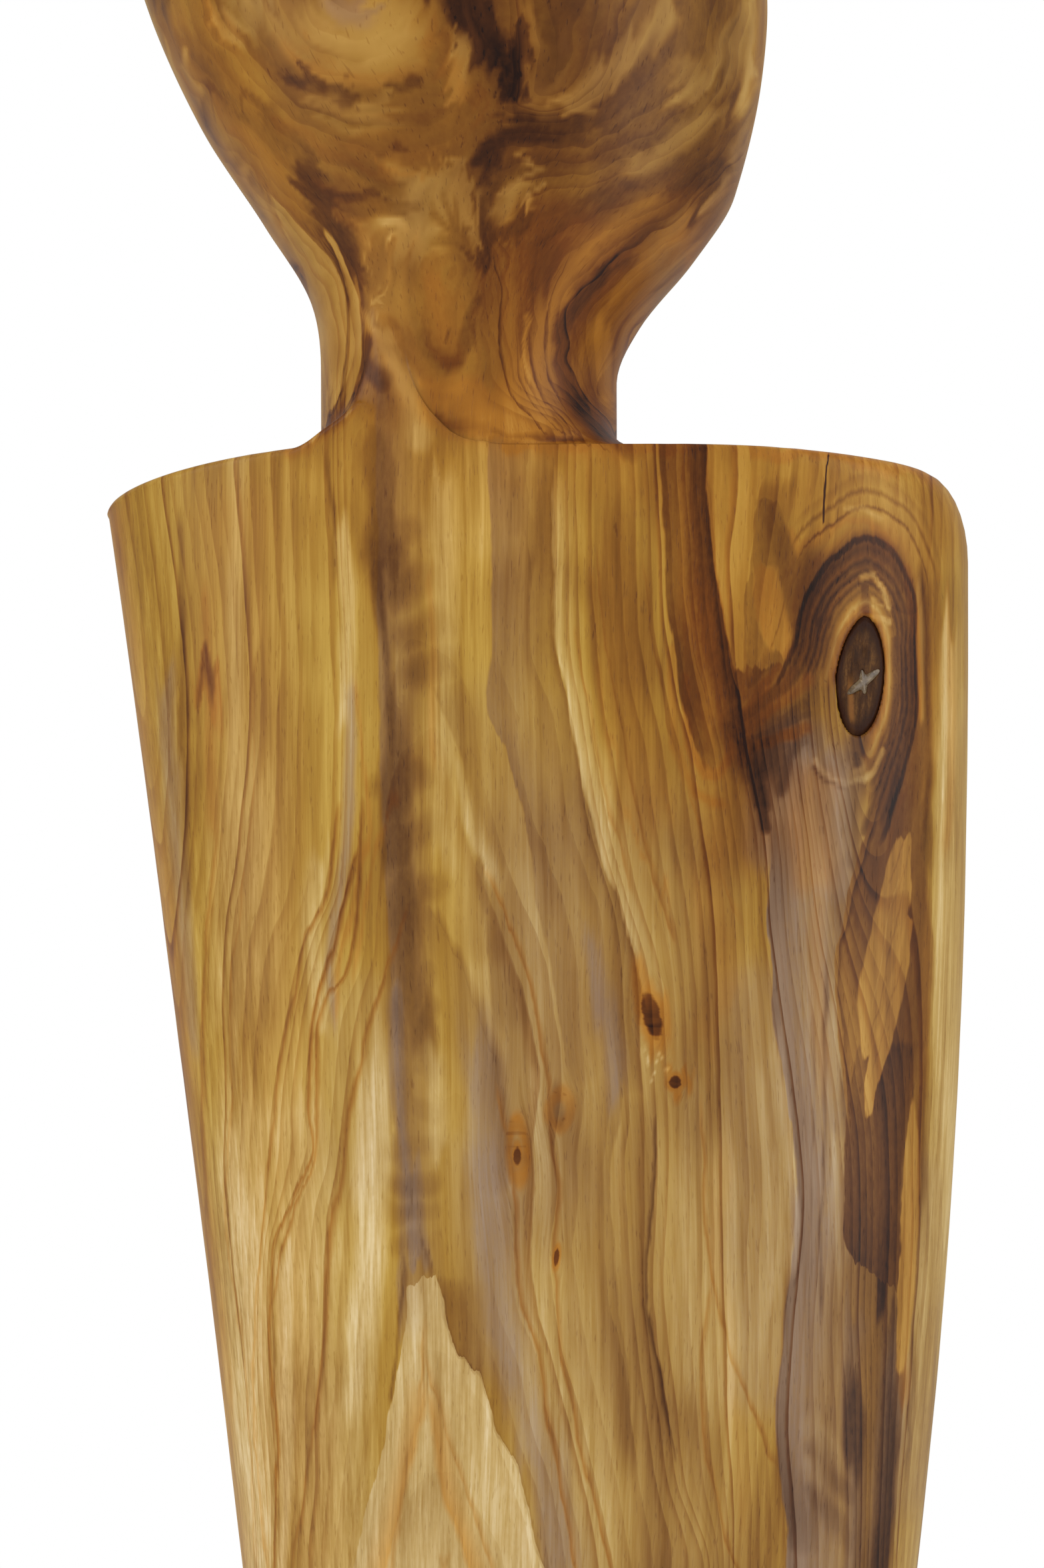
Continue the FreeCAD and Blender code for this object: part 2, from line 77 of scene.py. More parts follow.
PIN_X, PIN_Y = (FOOT_RIGHT - FOOT_LEFT) / 2, (FOOT_BACK - FOOT_FRONT) / 2


# ---- Small helpers ------------------------------------------------------------------------

def ease(share):
    share = np.clip(share, 0.0, 1.0)
    return share * share * (3 - 2 * share)


def through(points, place):
    """Smooth curve through (place, value) points in order, level at its ends and beyond."""
    places, values = (np.array(side, float) for side in zip(*points))
    slopes = np.zeros(len(places))
    slopes[1:-1] = (values[2:] - values[:-2]) / (places[2:] - places[:-2])
    place = np.clip(np.asarray(place, float), places[0], places[-1])
    k = np.clip(np.searchsorted(places, place, side="right") - 1, 0, len(places) - 2)
    span = places[k + 1] - places[k]
    t = (place - places[k]) / span
    start = values[k] * (1 + 2 * t) + slopes[k] * span * t
    end = values[k + 1] * (3 - 2 * t) - slopes[k + 1] * span * (1 - t)
    return start * (1 - t) ** 2 + end * t ** 2


LATTICE = 32


def noise(seed, cells, *place):
    """Smooth random values from -1 to 1 on a lattice whose cells have these sides."""
    grid = np.random.default_rng(seed).uniform(-1, 1, (LATTICE,) * 3)
    place = [side / cell for side, cell in zip(place, cells)]
    low = [np.floor(side).astype(int) for side in place]
    part = [ease(side - floor) for side, floor in zip(place, low)]
    total = 0.0
    for corner in np.ndindex(2, 2, 2):
        weight = 1.0
        for side, step in zip(part, corner):
            weight = weight * (side if step else 1 - side)
        index = tuple((floor + step) % LATTICE for floor, step in zip(low, corner))
        total = total + weight * grid[index]
    return total


def leaning(dx, dz, lean):
    """Offsets across and along an axis whose top leans to +X by this angle."""
    return (dx * math.cos(lean) - dz * math.sin(lean),
            dx * math.sin(lean) + dz * math.cos(lean))


def mesh_object(name, points, faces, body, material):
    """A smooth-shaded piece from points in millimetres, riding on a body."""
    mesh = bpy.data.meshes.new(name)
    mesh.from_pydata((np.asarray(points) * MM).tolist(), [], faces)
    mesh.polygons.foreach_set("use_smooth", [True] * len(mesh.polygons))
    mesh.materials.append(material)
    piece = bpy.data.objects.new(name, mesh)
    bpy.context.scene.collection.objects.link(piece)
    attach(piece, body)
    return piece


def store(mesh, name, values):
    """Keep an array as a mesh attribute: a number, a vector of 3 or a colour of 4 per point."""
    kinds = {1: ("FLOAT", "value"), 3: ("FLOAT_VECTOR", "vector"), 4: ("FLOAT_COLOR", "color")}
    kind, field = kinds[1 if values.ndim == 1 else values.shape[1]]
    attribute = mesh.attributes.new(name, kind, "POINT")
    attribute.data.foreach_set(field, np.ascontiguousarray(values, np.float32).ravel())


# ---- The carved form, as arrays over angle and level --------------------------------------

def ring_point(angle, left, right, front, back, squareness):
    reach = (np.abs(2 * np.cos(angle) / (right + left)) ** squareness
             + np.abs(2 * np.sin(angle) / (back + front)) ** squareness) ** (-1 / squareness)
    return (right - left) / 2 + reach * np.cos(angle), (back - front) / 2 + reach * np.sin(angle)


def torso_point(angle, level):
    share = np.clip((level - PLINTH_TOP) / TORSO_HEIGHT, 0.0, 1.0)
    swell = 4 * share * (1 - share)
    below_widest = np.maximum(1 - share / 0.875, 0.0)
    left = FOOT_LEFT + (SHOULDER_LEFT - FOOT_LEFT) * share - 1.7 * swell
    right = SHOULDER_RIGHT - (SHOULDER_RIGHT - FOOT_RIGHT) * below_widest ** 2
    front = FOOT_FRONT + (SHOULDER_FRONT - FOOT_FRONT) * share + 4.5 * swell
    back = FOOT_BACK + (SHOULDER_BACK - FOOT_BACK) * share + 5.0 * swell
    return ring_point(angle, left, right, front, back,
                      2.75 - 0.3 * np.cos(angle) - 0.35 * np.sin(angle))


def head_point(angle, level):
    def flank(waist_reach, *shares_and_reaches):
        upper = [(JAW_LEVEL + share * HEAD_HEIGHT, reach) for share, reach in shares_and_reaches]
        return through([(WAIST_LEVEL, waist_reach)] + upper, level)

    past_brow = BROW_SHARE + 0.2
    left = flank(NECK_LEFT, (0.0, NECK_LEFT + 1.9), (0.1, 0.655 * HEAD_LEFT),
                 (0.23, 0.81 * HEAD_LEFT), (0.4, 0.948 * HEAD_LEFT), (BROW_SHARE, HEAD_LEFT),
                 (past_brow, 1.06 * HEAD_LEFT))
    right = flank(NECK_RIGHT, (-0.03, NECK_RIGHT + 4.5), (0.054, 0.68 * HEAD_RIGHT),
                  (0.138, 0.859 * HEAD_RIGHT), (0.35, HEAD_RIGHT),
                  (BROW_SHARE, 0.945 * HEAD_RIGHT), (past_brow, 0.83 * HEAD_RIGHT))
    front = flank(NECK_FRONT, (0.0, NECK_FRONT + 1.5), (0.25, 0.91 * HEAD_FRONT),
                  (BROW_SHARE, HEAD_FRONT))
    back = flank(NECK_BACK, (0.0, NECK_BACK + 4), (0.25, 0.79 * HEAD_BACK),
                 (BROW_SHARE, HEAD_BACK))
    flush = np.maximum(np.cos(angle - math.radians(235)), 0.0) ** 3 * (1 - ease(
        (level - WAIST_LEVEL) / (BROW_LEVEL - WAIST_LEVEL)))
    return ring_point(angle, left, right, front, back, 2.15 + 1.5 * flush)


def across_neck(angle):
    return (torso_point(angle, SHOULDER_LEVEL)[0] + NECK_LEFT) / (NECK_LEFT + NECK_RIGHT)


def frontness(angle):
    return ease(0.5 - 1.5 * np.sin(angle))


def edge_level(angle):
    """Level of the torso's top edge."""
    x, _ = torso_point(angle, SHOULDER_LEVEL)
    left_share = np.maximum((-x - NECK_LEFT) / (SHOULDER_LEFT - NECK_LEFT), 0.0)
    right_share = np.maximum((x - 2 * NECK_RIGHT) / (SHOULDER_RIGHT - 2 * NECK_RIGHT), 0.0)
    drop = LEFT_SHOULDER_DROP * (0.55 * left_share + 0.45 * left_share ** 3)
    drop += RIGHT_SHOULDER_DROP * right_share ** 1.8
    drop += BACK_SHOULDER_DROP * (1 - frontness(angle))
    climb = through([(-0.1, 0.0), (0.06, 0.4), (0.17, 0.83), (0.26, 1.0), (0.39, 0.62),
                     (0.49, 0.22), (0.58, 0.04), (0.68, 0.0)], across_neck(angle))
    return SHOULDER_LEVEL - drop + RIDGE_CLIMB * climb * frontness(angle)


def flush_share(angle):
    """1 where the torso's front runs into the neck's with no ledge, 0 away from there."""
    across = across_neck(angle)
    return ease((across - 0.12) / 0.14) * (1 - ease((across - 0.4) / 0.18)) * frontness(angle)


def edge_rounding(angle):
    """Rounding of the torso's top edge, as (inwards, downwards)."""
    right_end = np.maximum(np.cos(angle), 0.0) ** 10
    left_end = np.maximum(-np.cos(angle), 0.0) ** 6
    back = ease(0.5 + 1.5 * np.sin(angle))
    inwards = FRONT_EDGE_ROUND + (BACK_EDGE_ROUND - FRONT_EDGE_ROUND) * back
    inwards += (LEFT_EDGE_ROUND - inwards) * left_end
    inwards += (RIGHT_EDGE_ROUND - inwards) * right_end
    return inwards, inwards * (1 + right_end)


def skin_rows(angle, side_levels, round_rows, ledge_rows, neck_rows, head_rows, crown_rows):
    """Points up the skin for every angle, as an array of (row, x y z, column)."""
    rows = []
    edge = edge_level(angle)
    top = torso_point(angle, edge)
    flush = flush_share(angle)
    hollow = COVE_RADIUS + (FRONT_COVE_RADIUS - COVE_RADIUS) * np.maximum(
        np.cos(angle + math.radians(60)), 0.0) ** 4

    def ledge_to(level):
        neck = head_point(angle, level)
        return neck, np.hypot(neck[0] - top[0], neck[1] - top[1])

    ledge = ledge_to(edge + hollow)[1]
    inwards, downwards = edge_rounding(angle)
    fit = np.minimum(1.0, 0.35 * ledge / inwards)
    inwards, downwards = inwards * fit, downwards * fit
    hollow = np.minimum(hollow, 0.55 * ledge)
    side_end = edge - downwards - (FLUSH_SLOPE - downwards) * flush
    neck_level = edge + hollow + (FLUSH_SLOPE - hollow) * flush
    neck, ledge = ledge_to(neck_level)

    def add(progress, inset, height):
        """A row of the ledge, or of the plain slope that takes its place where it is flush."""
        inset = inset + (ledge * ease(progress) - inset) * flush
        height = height + (FLUSH_SLOPE * (2 * progress - 1) - height) * flush
        share = inset / ledge
        rows.append((top[0] + (neck[0] - top[0]) * share, top[1] + (neck[1] - top[1]) * share,
                     edge + height))

    foot = torso_point(angle, PLINTH_TOP)
    reach = np.hypot(foot[0] - PIN_X, foot[1] - PIN_Y)
    for turn in np.linspace(0, math.pi / 2, round_rows // 2):
        shrink = 1 - FOOT_ROUND * (1 - math.sin(turn)) / reach
        rows.append((PIN_X + (foot[0] - PIN_X) * shrink, PIN_Y + (foot[1] - PIN_Y) * shrink,
                     np.full_like(angle, PLINTH_TOP + FOOT_ROUND * (1 - math.cos(turn)))))
    side_start = PLINTH_TOP + FOOT_ROUND
    for share in side_levels:
        level = side_start + (side_end - side_start) * share
        rows.append((*torso_point(angle, level), level))
    turns = np.linspace(0, 1, round_rows)[1:]
    for share in turns:
        turn = share * math.pi / 2
        add(0.3 * share, inwards * (1 - math.cos(turn)), downwards * (math.sin(turn) - 1))
    for share in np.linspace(0, 1, ledge_rows)[1:]:
        add(0.3 + 0.4 * share, inwards + (ledge - inwards - hollow) * share, 0.0)
    for share in turns:
        turn = share * math.pi / 2
        add(0.7 + 0.3 * share, ledge - hollow * (1 - math.sin(turn)),
            hollow * (1 - math.cos(turn)))
    for share in np.linspace(0, 1, neck_rows + 1)[1:]:
        level = neck_level + (JAW_LEVEL - neck_level) * share
        rows.append((*head_point(angle, level), level))
    for share in np.linspace(0, 1, head_rows + 1)[1:]:
        level = np.full_like(angle, JAW_LEVEL + (BROW_LEVEL - JAW_LEVEL) * share)
        rows.append((*head_point(angle, level), level))
    brow_x, brow_y = head_point(angle, np.full_like(angle, BROW_LEVEL))
    middle_x = (brow_x.max() + brow_x.min()) / 2
    middle_y = (brow_y.max() + brow_y.min()) / 2
    for turn in np.linspace(0, math.pi / 2, crown_rows + 1)[1:]:
        rows.append((middle_x - CROWN_LEAN * math.sin(turn) + (brow_x - middle_x) * math.cos(turn),
                     middle_y + (brow_y - middle_y) * math.cos(turn),
                     np.full_like(angle, BROW_LEVEL
                                  + (CROWN_LEVEL - BROW_LEVEL) * math.sin(turn))))
    return np.array(rows)


def front_surface(x, z):
    """Y of the torso's front at places; the polar outline is searched for each X."""
    low, high = np.full_like(x, math.pi), np.full_like(x, 2 * math.pi)
    for _ in range(45):
        middle = (low + high) / 2
        left = torso_point(middle, z)[0] < x
        low, high = np.where(left, middle, low), np.where(left, high, middle)
    return torso_point(low, z)[1]


def knot_radius(x, z):
    """Distance from the knot's centre in its own oval measure: 1 is on its edge."""
    across, along = leaning(x - KNOT_X, z - KNOT_Z, KNOT_TILT)
    across, along = across / (KNOT_WIDTH / 2), along / (KNOT_LENGTH / 2)
    radius = np.maximum(np.hypot(across, along), 1e-6)
    # the upper left of the oval is cut flatter than the rest
    corner = np.maximum(-across, 0) * np.maximum(along, 0) / radius ** 2
    return radius * (1 + 0.22 * corner)


# ---- Course of the grain ------------------------------------------------------------------

# A fibre's place in the head and neck: its X low in the torso, then (Z, X) up the front. The
# fibres stand upright in the torso, crowd through the neck and spread again over the head.
FIBRES = [
    (-66, (366, -66), (380, -47), (402, -47), (418, -58), (432, -70), (450, -79)),
    (-48, (366, -48), (384, -41), (402, -41), (418, -50), (434, -60), (452, -67)),
    (-34, (366, -34), (384, -33), (402, -34), (414, -38), (432, -50), (450, -58)),
    (-24, (374, -24), (402, -25), (418, -28), (436, -36), (452, -44)),
    (-10, (374, -10), (390, -8), (404, -9), (416, -10), (436, -8), (452, -13)),
    (6, (371, 6), (382, 1), (396, -2), (408, 2), (420, 10), (436, 22), (452, 30)),
    (22, (371, 22), (376, 12), (385, 5), (394, 4), (404, 9), (412, 16), (424, 28), (440, 37)),
    (40, (371, 40), (377, 14), (395, 13), (404, 20), (416, 32), (430, 40), (450, 44)),
    (82, (371, 82), (378, 18), (395, 17), (404, 25), (416, 38), (430, 48), (450, 54)),
]

PITH_X = -20.0

# Ring lines of the torso's front: how far a ring lies from the pith, then (Z, X) up the line
RINGS_LEFT = [
    (56.0, (164, -56), (200, -60.5), (249, -63.7), (279, -63), (300, -60.7), (330, -61),
     (374, -64)),
    (51.0, (164, -53.5), (200, -55.5), (234, -59.2), (253, -58), (272, -57.7), (287, -56.2),
     (300, -54.3), (330, -53), (374, -54)),
    (45.0, (164, -51.5), (183, -53), (200, -53.8), (218, -53.1), (238, -50.9), (257, -48.6),
     (273, -45.6), (282, -43.4), (290, -39.6), (300, -38), (330, -37.6), (374, -39)),
    (41.0, (164, -50), (183, -49.3), (210, -50.6), (224, -49.8), (229.5, -47.9), (236, -44.9),
     (243, -42.6), (250, -43.4), (263, -42.6), (272, -41), (284, -37.6), (293, -35.4),
     (330, -34.6), (374, -36)),
    (38.5, (164, -48.5), (200, -49), (217.6, -49.2), (224, -47.9), (232.5, -45.6), (239, -42.6),
     (246, -41.8), (261, -41.5), (269, -40.3), (277, -35.8), (300, -33.6), (374, -34.6)),
    (34.8, (164, -46.1), (179.5, -43.7), (193, -42), (207, -40.2), (228, -38.9), (238, -37),
     (248, -35.8), (260, -33.5), (266, -32), (272.5, -29.8), (282, -26.5), (374, -26)),
]
RINGS_RIGHT = [
    (34.8, (150, 9), (164, 6.9), (176, 4.8), (190, 2), (204, -0.1), (212, -2.8), (221, -4.2),
     (237, -5.3), (249, -7), (257, -8), (263, -10), (272, -13), (283, -18.4), (374, -18)),
    (37.0, (150, 16), (164, 13.1), (176, 10.3), (190, 6.9), (204, 4.1), (214, 3.1), (224, 2.7),
     (234, 3.4), (244, 2), (256, 1.3), (269, -1), (280, -4), (290, -8), (300, -11),
     (316, -14.5), (330, -16), (374, -16)),
    (41.0, (164, 22), (190, 17.5), (214, 14.5), (238, 13.2), (249, 14.6), (268, 13.5),
     (285, 12.8), (302, 8), (323, 5.2), (335, 2.4), (374, 2.2)),
    (45.0, (164, 31), (180, 25.5), (195, 22.8), (209, 20.5), (216, 19.8), (232, 21),
     (250, 21.5), (276, 20.6), (300, 13.5), (330, 9), (374, 7)),
    (54.0, (164, 37), (220, 35), (260, 35), (290, 34), (308, 31), (317, 29.6), (325, 27.1),
     (333, 25.5), (343, 23.9), (364, 22.7), (374, 22.2)),
    (60.0, (164, 46), (191, 44.3), (217, 46.5), (236, 48.2), (254, 46), (281, 43.2),
     (300, 43), (310, 41), (322, 38), (339, 34.5), (349, 32.5), (374, 30.8)),
    (69.0, (164, 59), (222, 58), (247, 58), (268, 56.3), (281, 55.4), (310, 58), (374, 58)),
    (82.0, (164, 68), (220, 73), (374, 76)),
]

# Knots that part the fibres: X, Z, half width, length over width
KNOTS = [
    (KNOT_X, KNOT_Z, 7.0, 2.4),
    (20.7, 267.5, 2.6, 2.4),
    (25.2, 255.0, 1.6, 1.6),
    (-4.3, 242.5, 2.2, 3.2),
    (4.1, 250.2, 2.4, 1.8),
    (3.1, 222.4, 1.0, 3.0),
]

# The small ones again as they look: X, Z, width, length, lean of the top to +X
SMALL_KNOTS = [
    (20.8, 267.5, 3.2, 8.6, -0.25),
    (25.2, 255.0, 2.2, 2.4, 0.0),
    (-4.2, 241.4, 1.5, 3.4, 0.0),
    (3.1, 222.4, 1.0, 3.4, 0.1),
]

# Crisp lines up the front: stain, level, how far it fades to the left and right and past its
# ends, then (Z, X) up the line. Rust is amber with half as much dark. Lines used more than once
# come first.
SMOKY_LINE = [(215, -25.8), (245, -26.3), (262, -26.8), (275, -27.5), (290, -28.4), (309, -29.4),
              (357, -30.1), (388, -30.3)]
PALE_LINE = [(262, 18.8), (276, 18.3), (286, 16), (293, 13.3), (304, 10), (315, 7.5), (327, 5.1),
             (339, 2.7), (349, 2.7), (362, 2.7)]
SHORT_LINE = [(187, 24.8), (194, 23), (201, 22.6), (208, 20.7), (215, 19.7), (223, 20.4),
              (231, 21), (246, 21.6)]
BAND_LINE = [(318, 38.5), (322, 38), (330, 36.5), (339, 34.5), (349, 32.5), (360, 31.2),
             (374, 30.8)]
FLAME_LEFT = [(40, -47), (80, -43), (120, -39.4), (150, -37), (166, -33.6), (175, -31.8),
              (182, -30.3), (187, -28.8), (194, -27.7), (202, -26.1), (206, -25), (211, -24.4),
              (216.4, -24.3), (219, -19.4)]
FLAME_RIGHT = [(40, 20), (80, 14), (120, 9), (150, 4.6), (165, 0.7), (170, -0.8), (177, -2.7),
               (184, -4.6), (190, -8.4), (196.5, -9.9), (201, -12.2), (204, -15.2),
               (209, -17.5), (214.6, -18.6), (219, -20)]
MIDDLE_LINE = [(262, 4.5), (270, 3), (285, 0.5), (298, -1.4), (308, -3), (317, -6.3),
               (325, -9.4), (335, -8.9), (350, -9.1), (374, -9.2)]
# lilac band up the front's right: dark wood under a painted sheen, the soft reflection of a tall
# lamp where the front turns away
LILAC_SHEEN_LINE = [(60, 42), (120, 45), (170, 46.5), (179, 45.2), (191, 44.3), (204, 45.2),
              (217, 46.5), (225.5, 48.2), (236.5, 48.2), (247, 46.9), (254, 46), (264, 44.3),
              (281, 43.2), (300, 43)]
ARCH_LINE = [(240, -6.4), (249, -7), (257, -8), (262.7, -10), (272, -13), (278, -15.5),
             (283, -18.4)]
SEAMS = [
    ("grey", 0.4, 0.5, 10, 10, SMOKY_LINE),
    ("dark", 0.2, 0.6, 9, 8, SMOKY_LINE[1:]),
    ("grey", 0.4, 0.4, 13, 8, MIDDLE_LINE),
    ("dark", 0.26, 0.4, 11, 8, MIDDLE_LINE),
    ("dark", 0.3, 0.6, 9, 6, [(270, -8.6), (283, -9.6), (293, -10.8), (302, -12), (309, -13.4),
                              (316, -14.5), (324, -18)]),
    ("dark", 0.36, 10, 0.4, 10, PALE_LINE),
    ("dark", 0.3, 2.5, 0.4, 6, PALE_LINE[3:]),
    ("pale", 0.5, 0.4, 6, 8, PALE_LINE[1:]),
    ("dark", 0.24, 6, 0.5, 10, [(190, 17.3), (203.7, 15.9), (214, 14.5), (224.5, 13.8),
                               (238, 13.1), (248.8, 14.8), (262, 15.4)]),
    ("dark", 0.7, 0.4, 1.6, 4, RINGS_RIGHT[4][6:]),
    ("dark", 1.05, 10, 0.5, 5, BAND_LINE),
    ("dark", 0.72, 0.5, 9, 5, RINGS_RIGHT[4][6:]),
    ("dark", 0.9, 1.2, 0.5, 5, BAND_LINE),
    ("dark", 1.5, 0.25, 0.3, 0.5, [(360, 53.1), (364, 53.1), (367, 53.3), (372.3, 53.9)]),
    ("dark", 0.55, 0.5, 1.4, 5, [(318, 33), (330, 30), (345, 27.6), (374, 27)]),
    ("rust", 0.9, 0.5, 0.8, 3, [(322, 33.5), (333, 29.5), (345, 27), (366, 26)]),
    ("rust", 0.8, 0.4, 0.7, 3, [(321, 35.5), (331, 32), (345, 29.4), (352, 28.6)]),
    ("dark", 0.5, 0.5, 9, 4, [(320, 38), (337, 38.2), (341.7, 39), (349, 40), (358, 40),
                              (364, 41)]),
    ("rust", 0.6, 0.5, 1.2, 6, [(286, 23.5), (292.7, 21.4), (305, 18.2), (319, 15.7), (337, 12.4),
                                (350, 11)]),
    ("rust", 0.45, 0.4, 0.9, 6, [(296, 16), (300, 14.9), (308, 12.4), (324, 9.2), (335, 7.1)]),
    ("rust", 0.5, 0.4, 1.1, 6, [(290, 35), (298, 32), (311, 27.1), (330, 22.2), (347, 19.8)]),
    # painted sheen over dark wood: the lilac band
    ("grey", 1.2, 0.5, 15, 4, LILAC_SHEEN_LINE),
    ("dark", 0.26, 0.5, 7, 4, LILAC_SHEEN_LINE[2:]),
    ("dark", 0.2, 7, 0.4, 8, SHORT_LINE),
    ("dark", 0.55, 1.2, 0.4, 4, SHORT_LINE),
    ("dark", 0.6, 0.3, 1.7, 2, FLAME_RIGHT[1:-1]),
    ("dark", 0.34, 0.3, 10, 4, FLAME_RIGHT[1:-1]),
    ("dark", 0.4, 0.3, 2.0, 5, ARCH_LINE),
    ("dark", 0.3, 8, 0.4, 6, ARCH_LINE),
    ("rust", 0.6, 0.5, 1.2, 8, RINGS_LEFT[0][1:-2]),
    ("dark", 0.25, 0.5, 4, 8, RINGS_LEFT[1][1:-1]),
    ("rust", 0.55, 0.4, 0.8, 8, RINGS_LEFT[1][1:-1]),
    ("rust", 0.7, 0.5, 0.9, 8, RINGS_LEFT[2][1:-2]),
    ("rust", 0.95, 0.5, 1.0, 8, RINGS_LEFT[3][1:-2]),
    ("rust", 0.85, 0.5, 0.9, 8, RINGS_LEFT[4][3:-1]),
    ("rust", 0.7, 0.6, 1.0, 6, RINGS_LEFT[5][1:-1]),
    ("rust", 0.7, 0.5, 1.0, 6, RINGS_RIGHT[0][1:10]),
    ("rust", 0.65, 0.5, 1.0, 6, RINGS_RIGHT[1][1:-4]),
    ("rust", 0.6, 0.5, 1.0, 8, [(110, -30), (150, -29), (165, -27.6), (180, -25.4), (192, -23.2),
                                (203, -22)]),
    ("rust", 0.6, 0.5, 1.2, 8, [(110, 2), (150, -5), (164, -9), (176, -13), (188, -17),
                                (198, -20)]),
    ("amber", 0.85, 1, 4, 8, [(100, -2), (130, -4), (158, -11), (170, -15), (180, -18),
                              (190, -19.8)]),
    ("amber", 0.8, 4, 1, 8, [(100, -36), (146, -33), (160, -30), (172, -27), (182, -24.5),
                             (192, -22.6)]),
    ("rust", 0.6, 0.6, 1.6, 5, [(120, -10), (140, -12), (152, -14.6), (162, -17.2)]),
    ("rust", 0.6, 1.6, 0.6, 5, [(120, -26), (140, -23), (152, -20), (162, -17.8)]),
    ("rust", 0.5, 0.5, 1.0, 8, [(160, 39), (172, 34), (185, 31), (200, 30), (212, 31)]),
    ("rust", 0.55, 0.5, 1.0, 8, [(190, 41), (200, 37), (212, 33.4), (225, 31), (245, 30.4)]),
    # left side of the dark band
    ("dark", 0.85, 0.5, 2.4, 5, [(250, 58), (258, 57.2), (266, 56.6), (273, 56), (279, 56),
                                 (285, 57.8), (292, 59.4), (300, 61.6), (308, 64.4)]),
    # splinters of the orange blades
    ("dark", 0.5, 0.3, 0.6, 2, [(264, 62.4), (272, 64.4), (280, 66), (288, 67.8)]),
    ("pale", 0.55, 0.3, 0.6, 2, [(268, 62.4), (276, 63.9), (284, 65.4), (292, 67.4)]),
    ("dark", 0.4, 0.3, 0.5, 2, [(256, 62.4), (262, 64), (269, 66), (276, 68)]),
    # lines of the neck
    ("dark", 0.8, 0.4, 0.9, 4, [(378, -40), (383, -37.4), (388, -36.4), (394, -36), (401, -36),
                                (406, -37.2), (410, -39.4)]),
    ("dark", 0.95, 0.6, 1.6, 4, [(381, -36), (385, -33.6), (389, -32.8), (396, -32.8),
                                 (403, -33.2), (408, -34.6), (412, -37)]),
    ("dark", 0.4, 0.3, 0.6, 5, [(388, -30.6), (394, -30.2), (402, -30.4), (408, -31.6)]),
    ("dark", 0.35, 0.3, 0.6, 5, [(392, -28.6), (398, -28.4), (406, -29.4)]),
    ("dark", 0.85, 0.4, 1.0, 4, [(377.6, -0.6), (381, -3.8), (385, -6), (390, -7.2), (396, -7.4),
                                 (402, -7), (407, -8)]),
    ("dark", 0.6, 0.3, 0.8, 5, [(377, 3), (380, 0), (384, -2.6), (389, -3.8), (396, -4),
                                (403, -3.4), (409, -2)]),
    ("rust", 0.8, 0.4, 0.9, 5, [(376.8, 4.6), (379.8, 1.6), (383.6, -1), (388.6, -2.6),
                                (395, -2.8), (402, -2), (409, 0)]),
    ("dark", 0.55, 0.3, 0.8, 5, [(376.6, 6), (379.6, 3), (383, 0.6), (388, -1), (395, -1.4),
                                 (402, -0.6), (409, 2)]),
    ("dark", 0.6, 0.3, 0.8, 5, [(376, 9), (379, 6), (383, 3.4), (388, 1.6), (395, 1), (402, 2),
                                (408, 4.6)]),
    ("rust", 1.15, 3.0, 6.5, 6, [(376, 13), (380, 10), (385, 7.4), (391, 6.4), (397, 7.2),
                                 (402, 9.6), (407, 13.2), (411, 17)]),
]

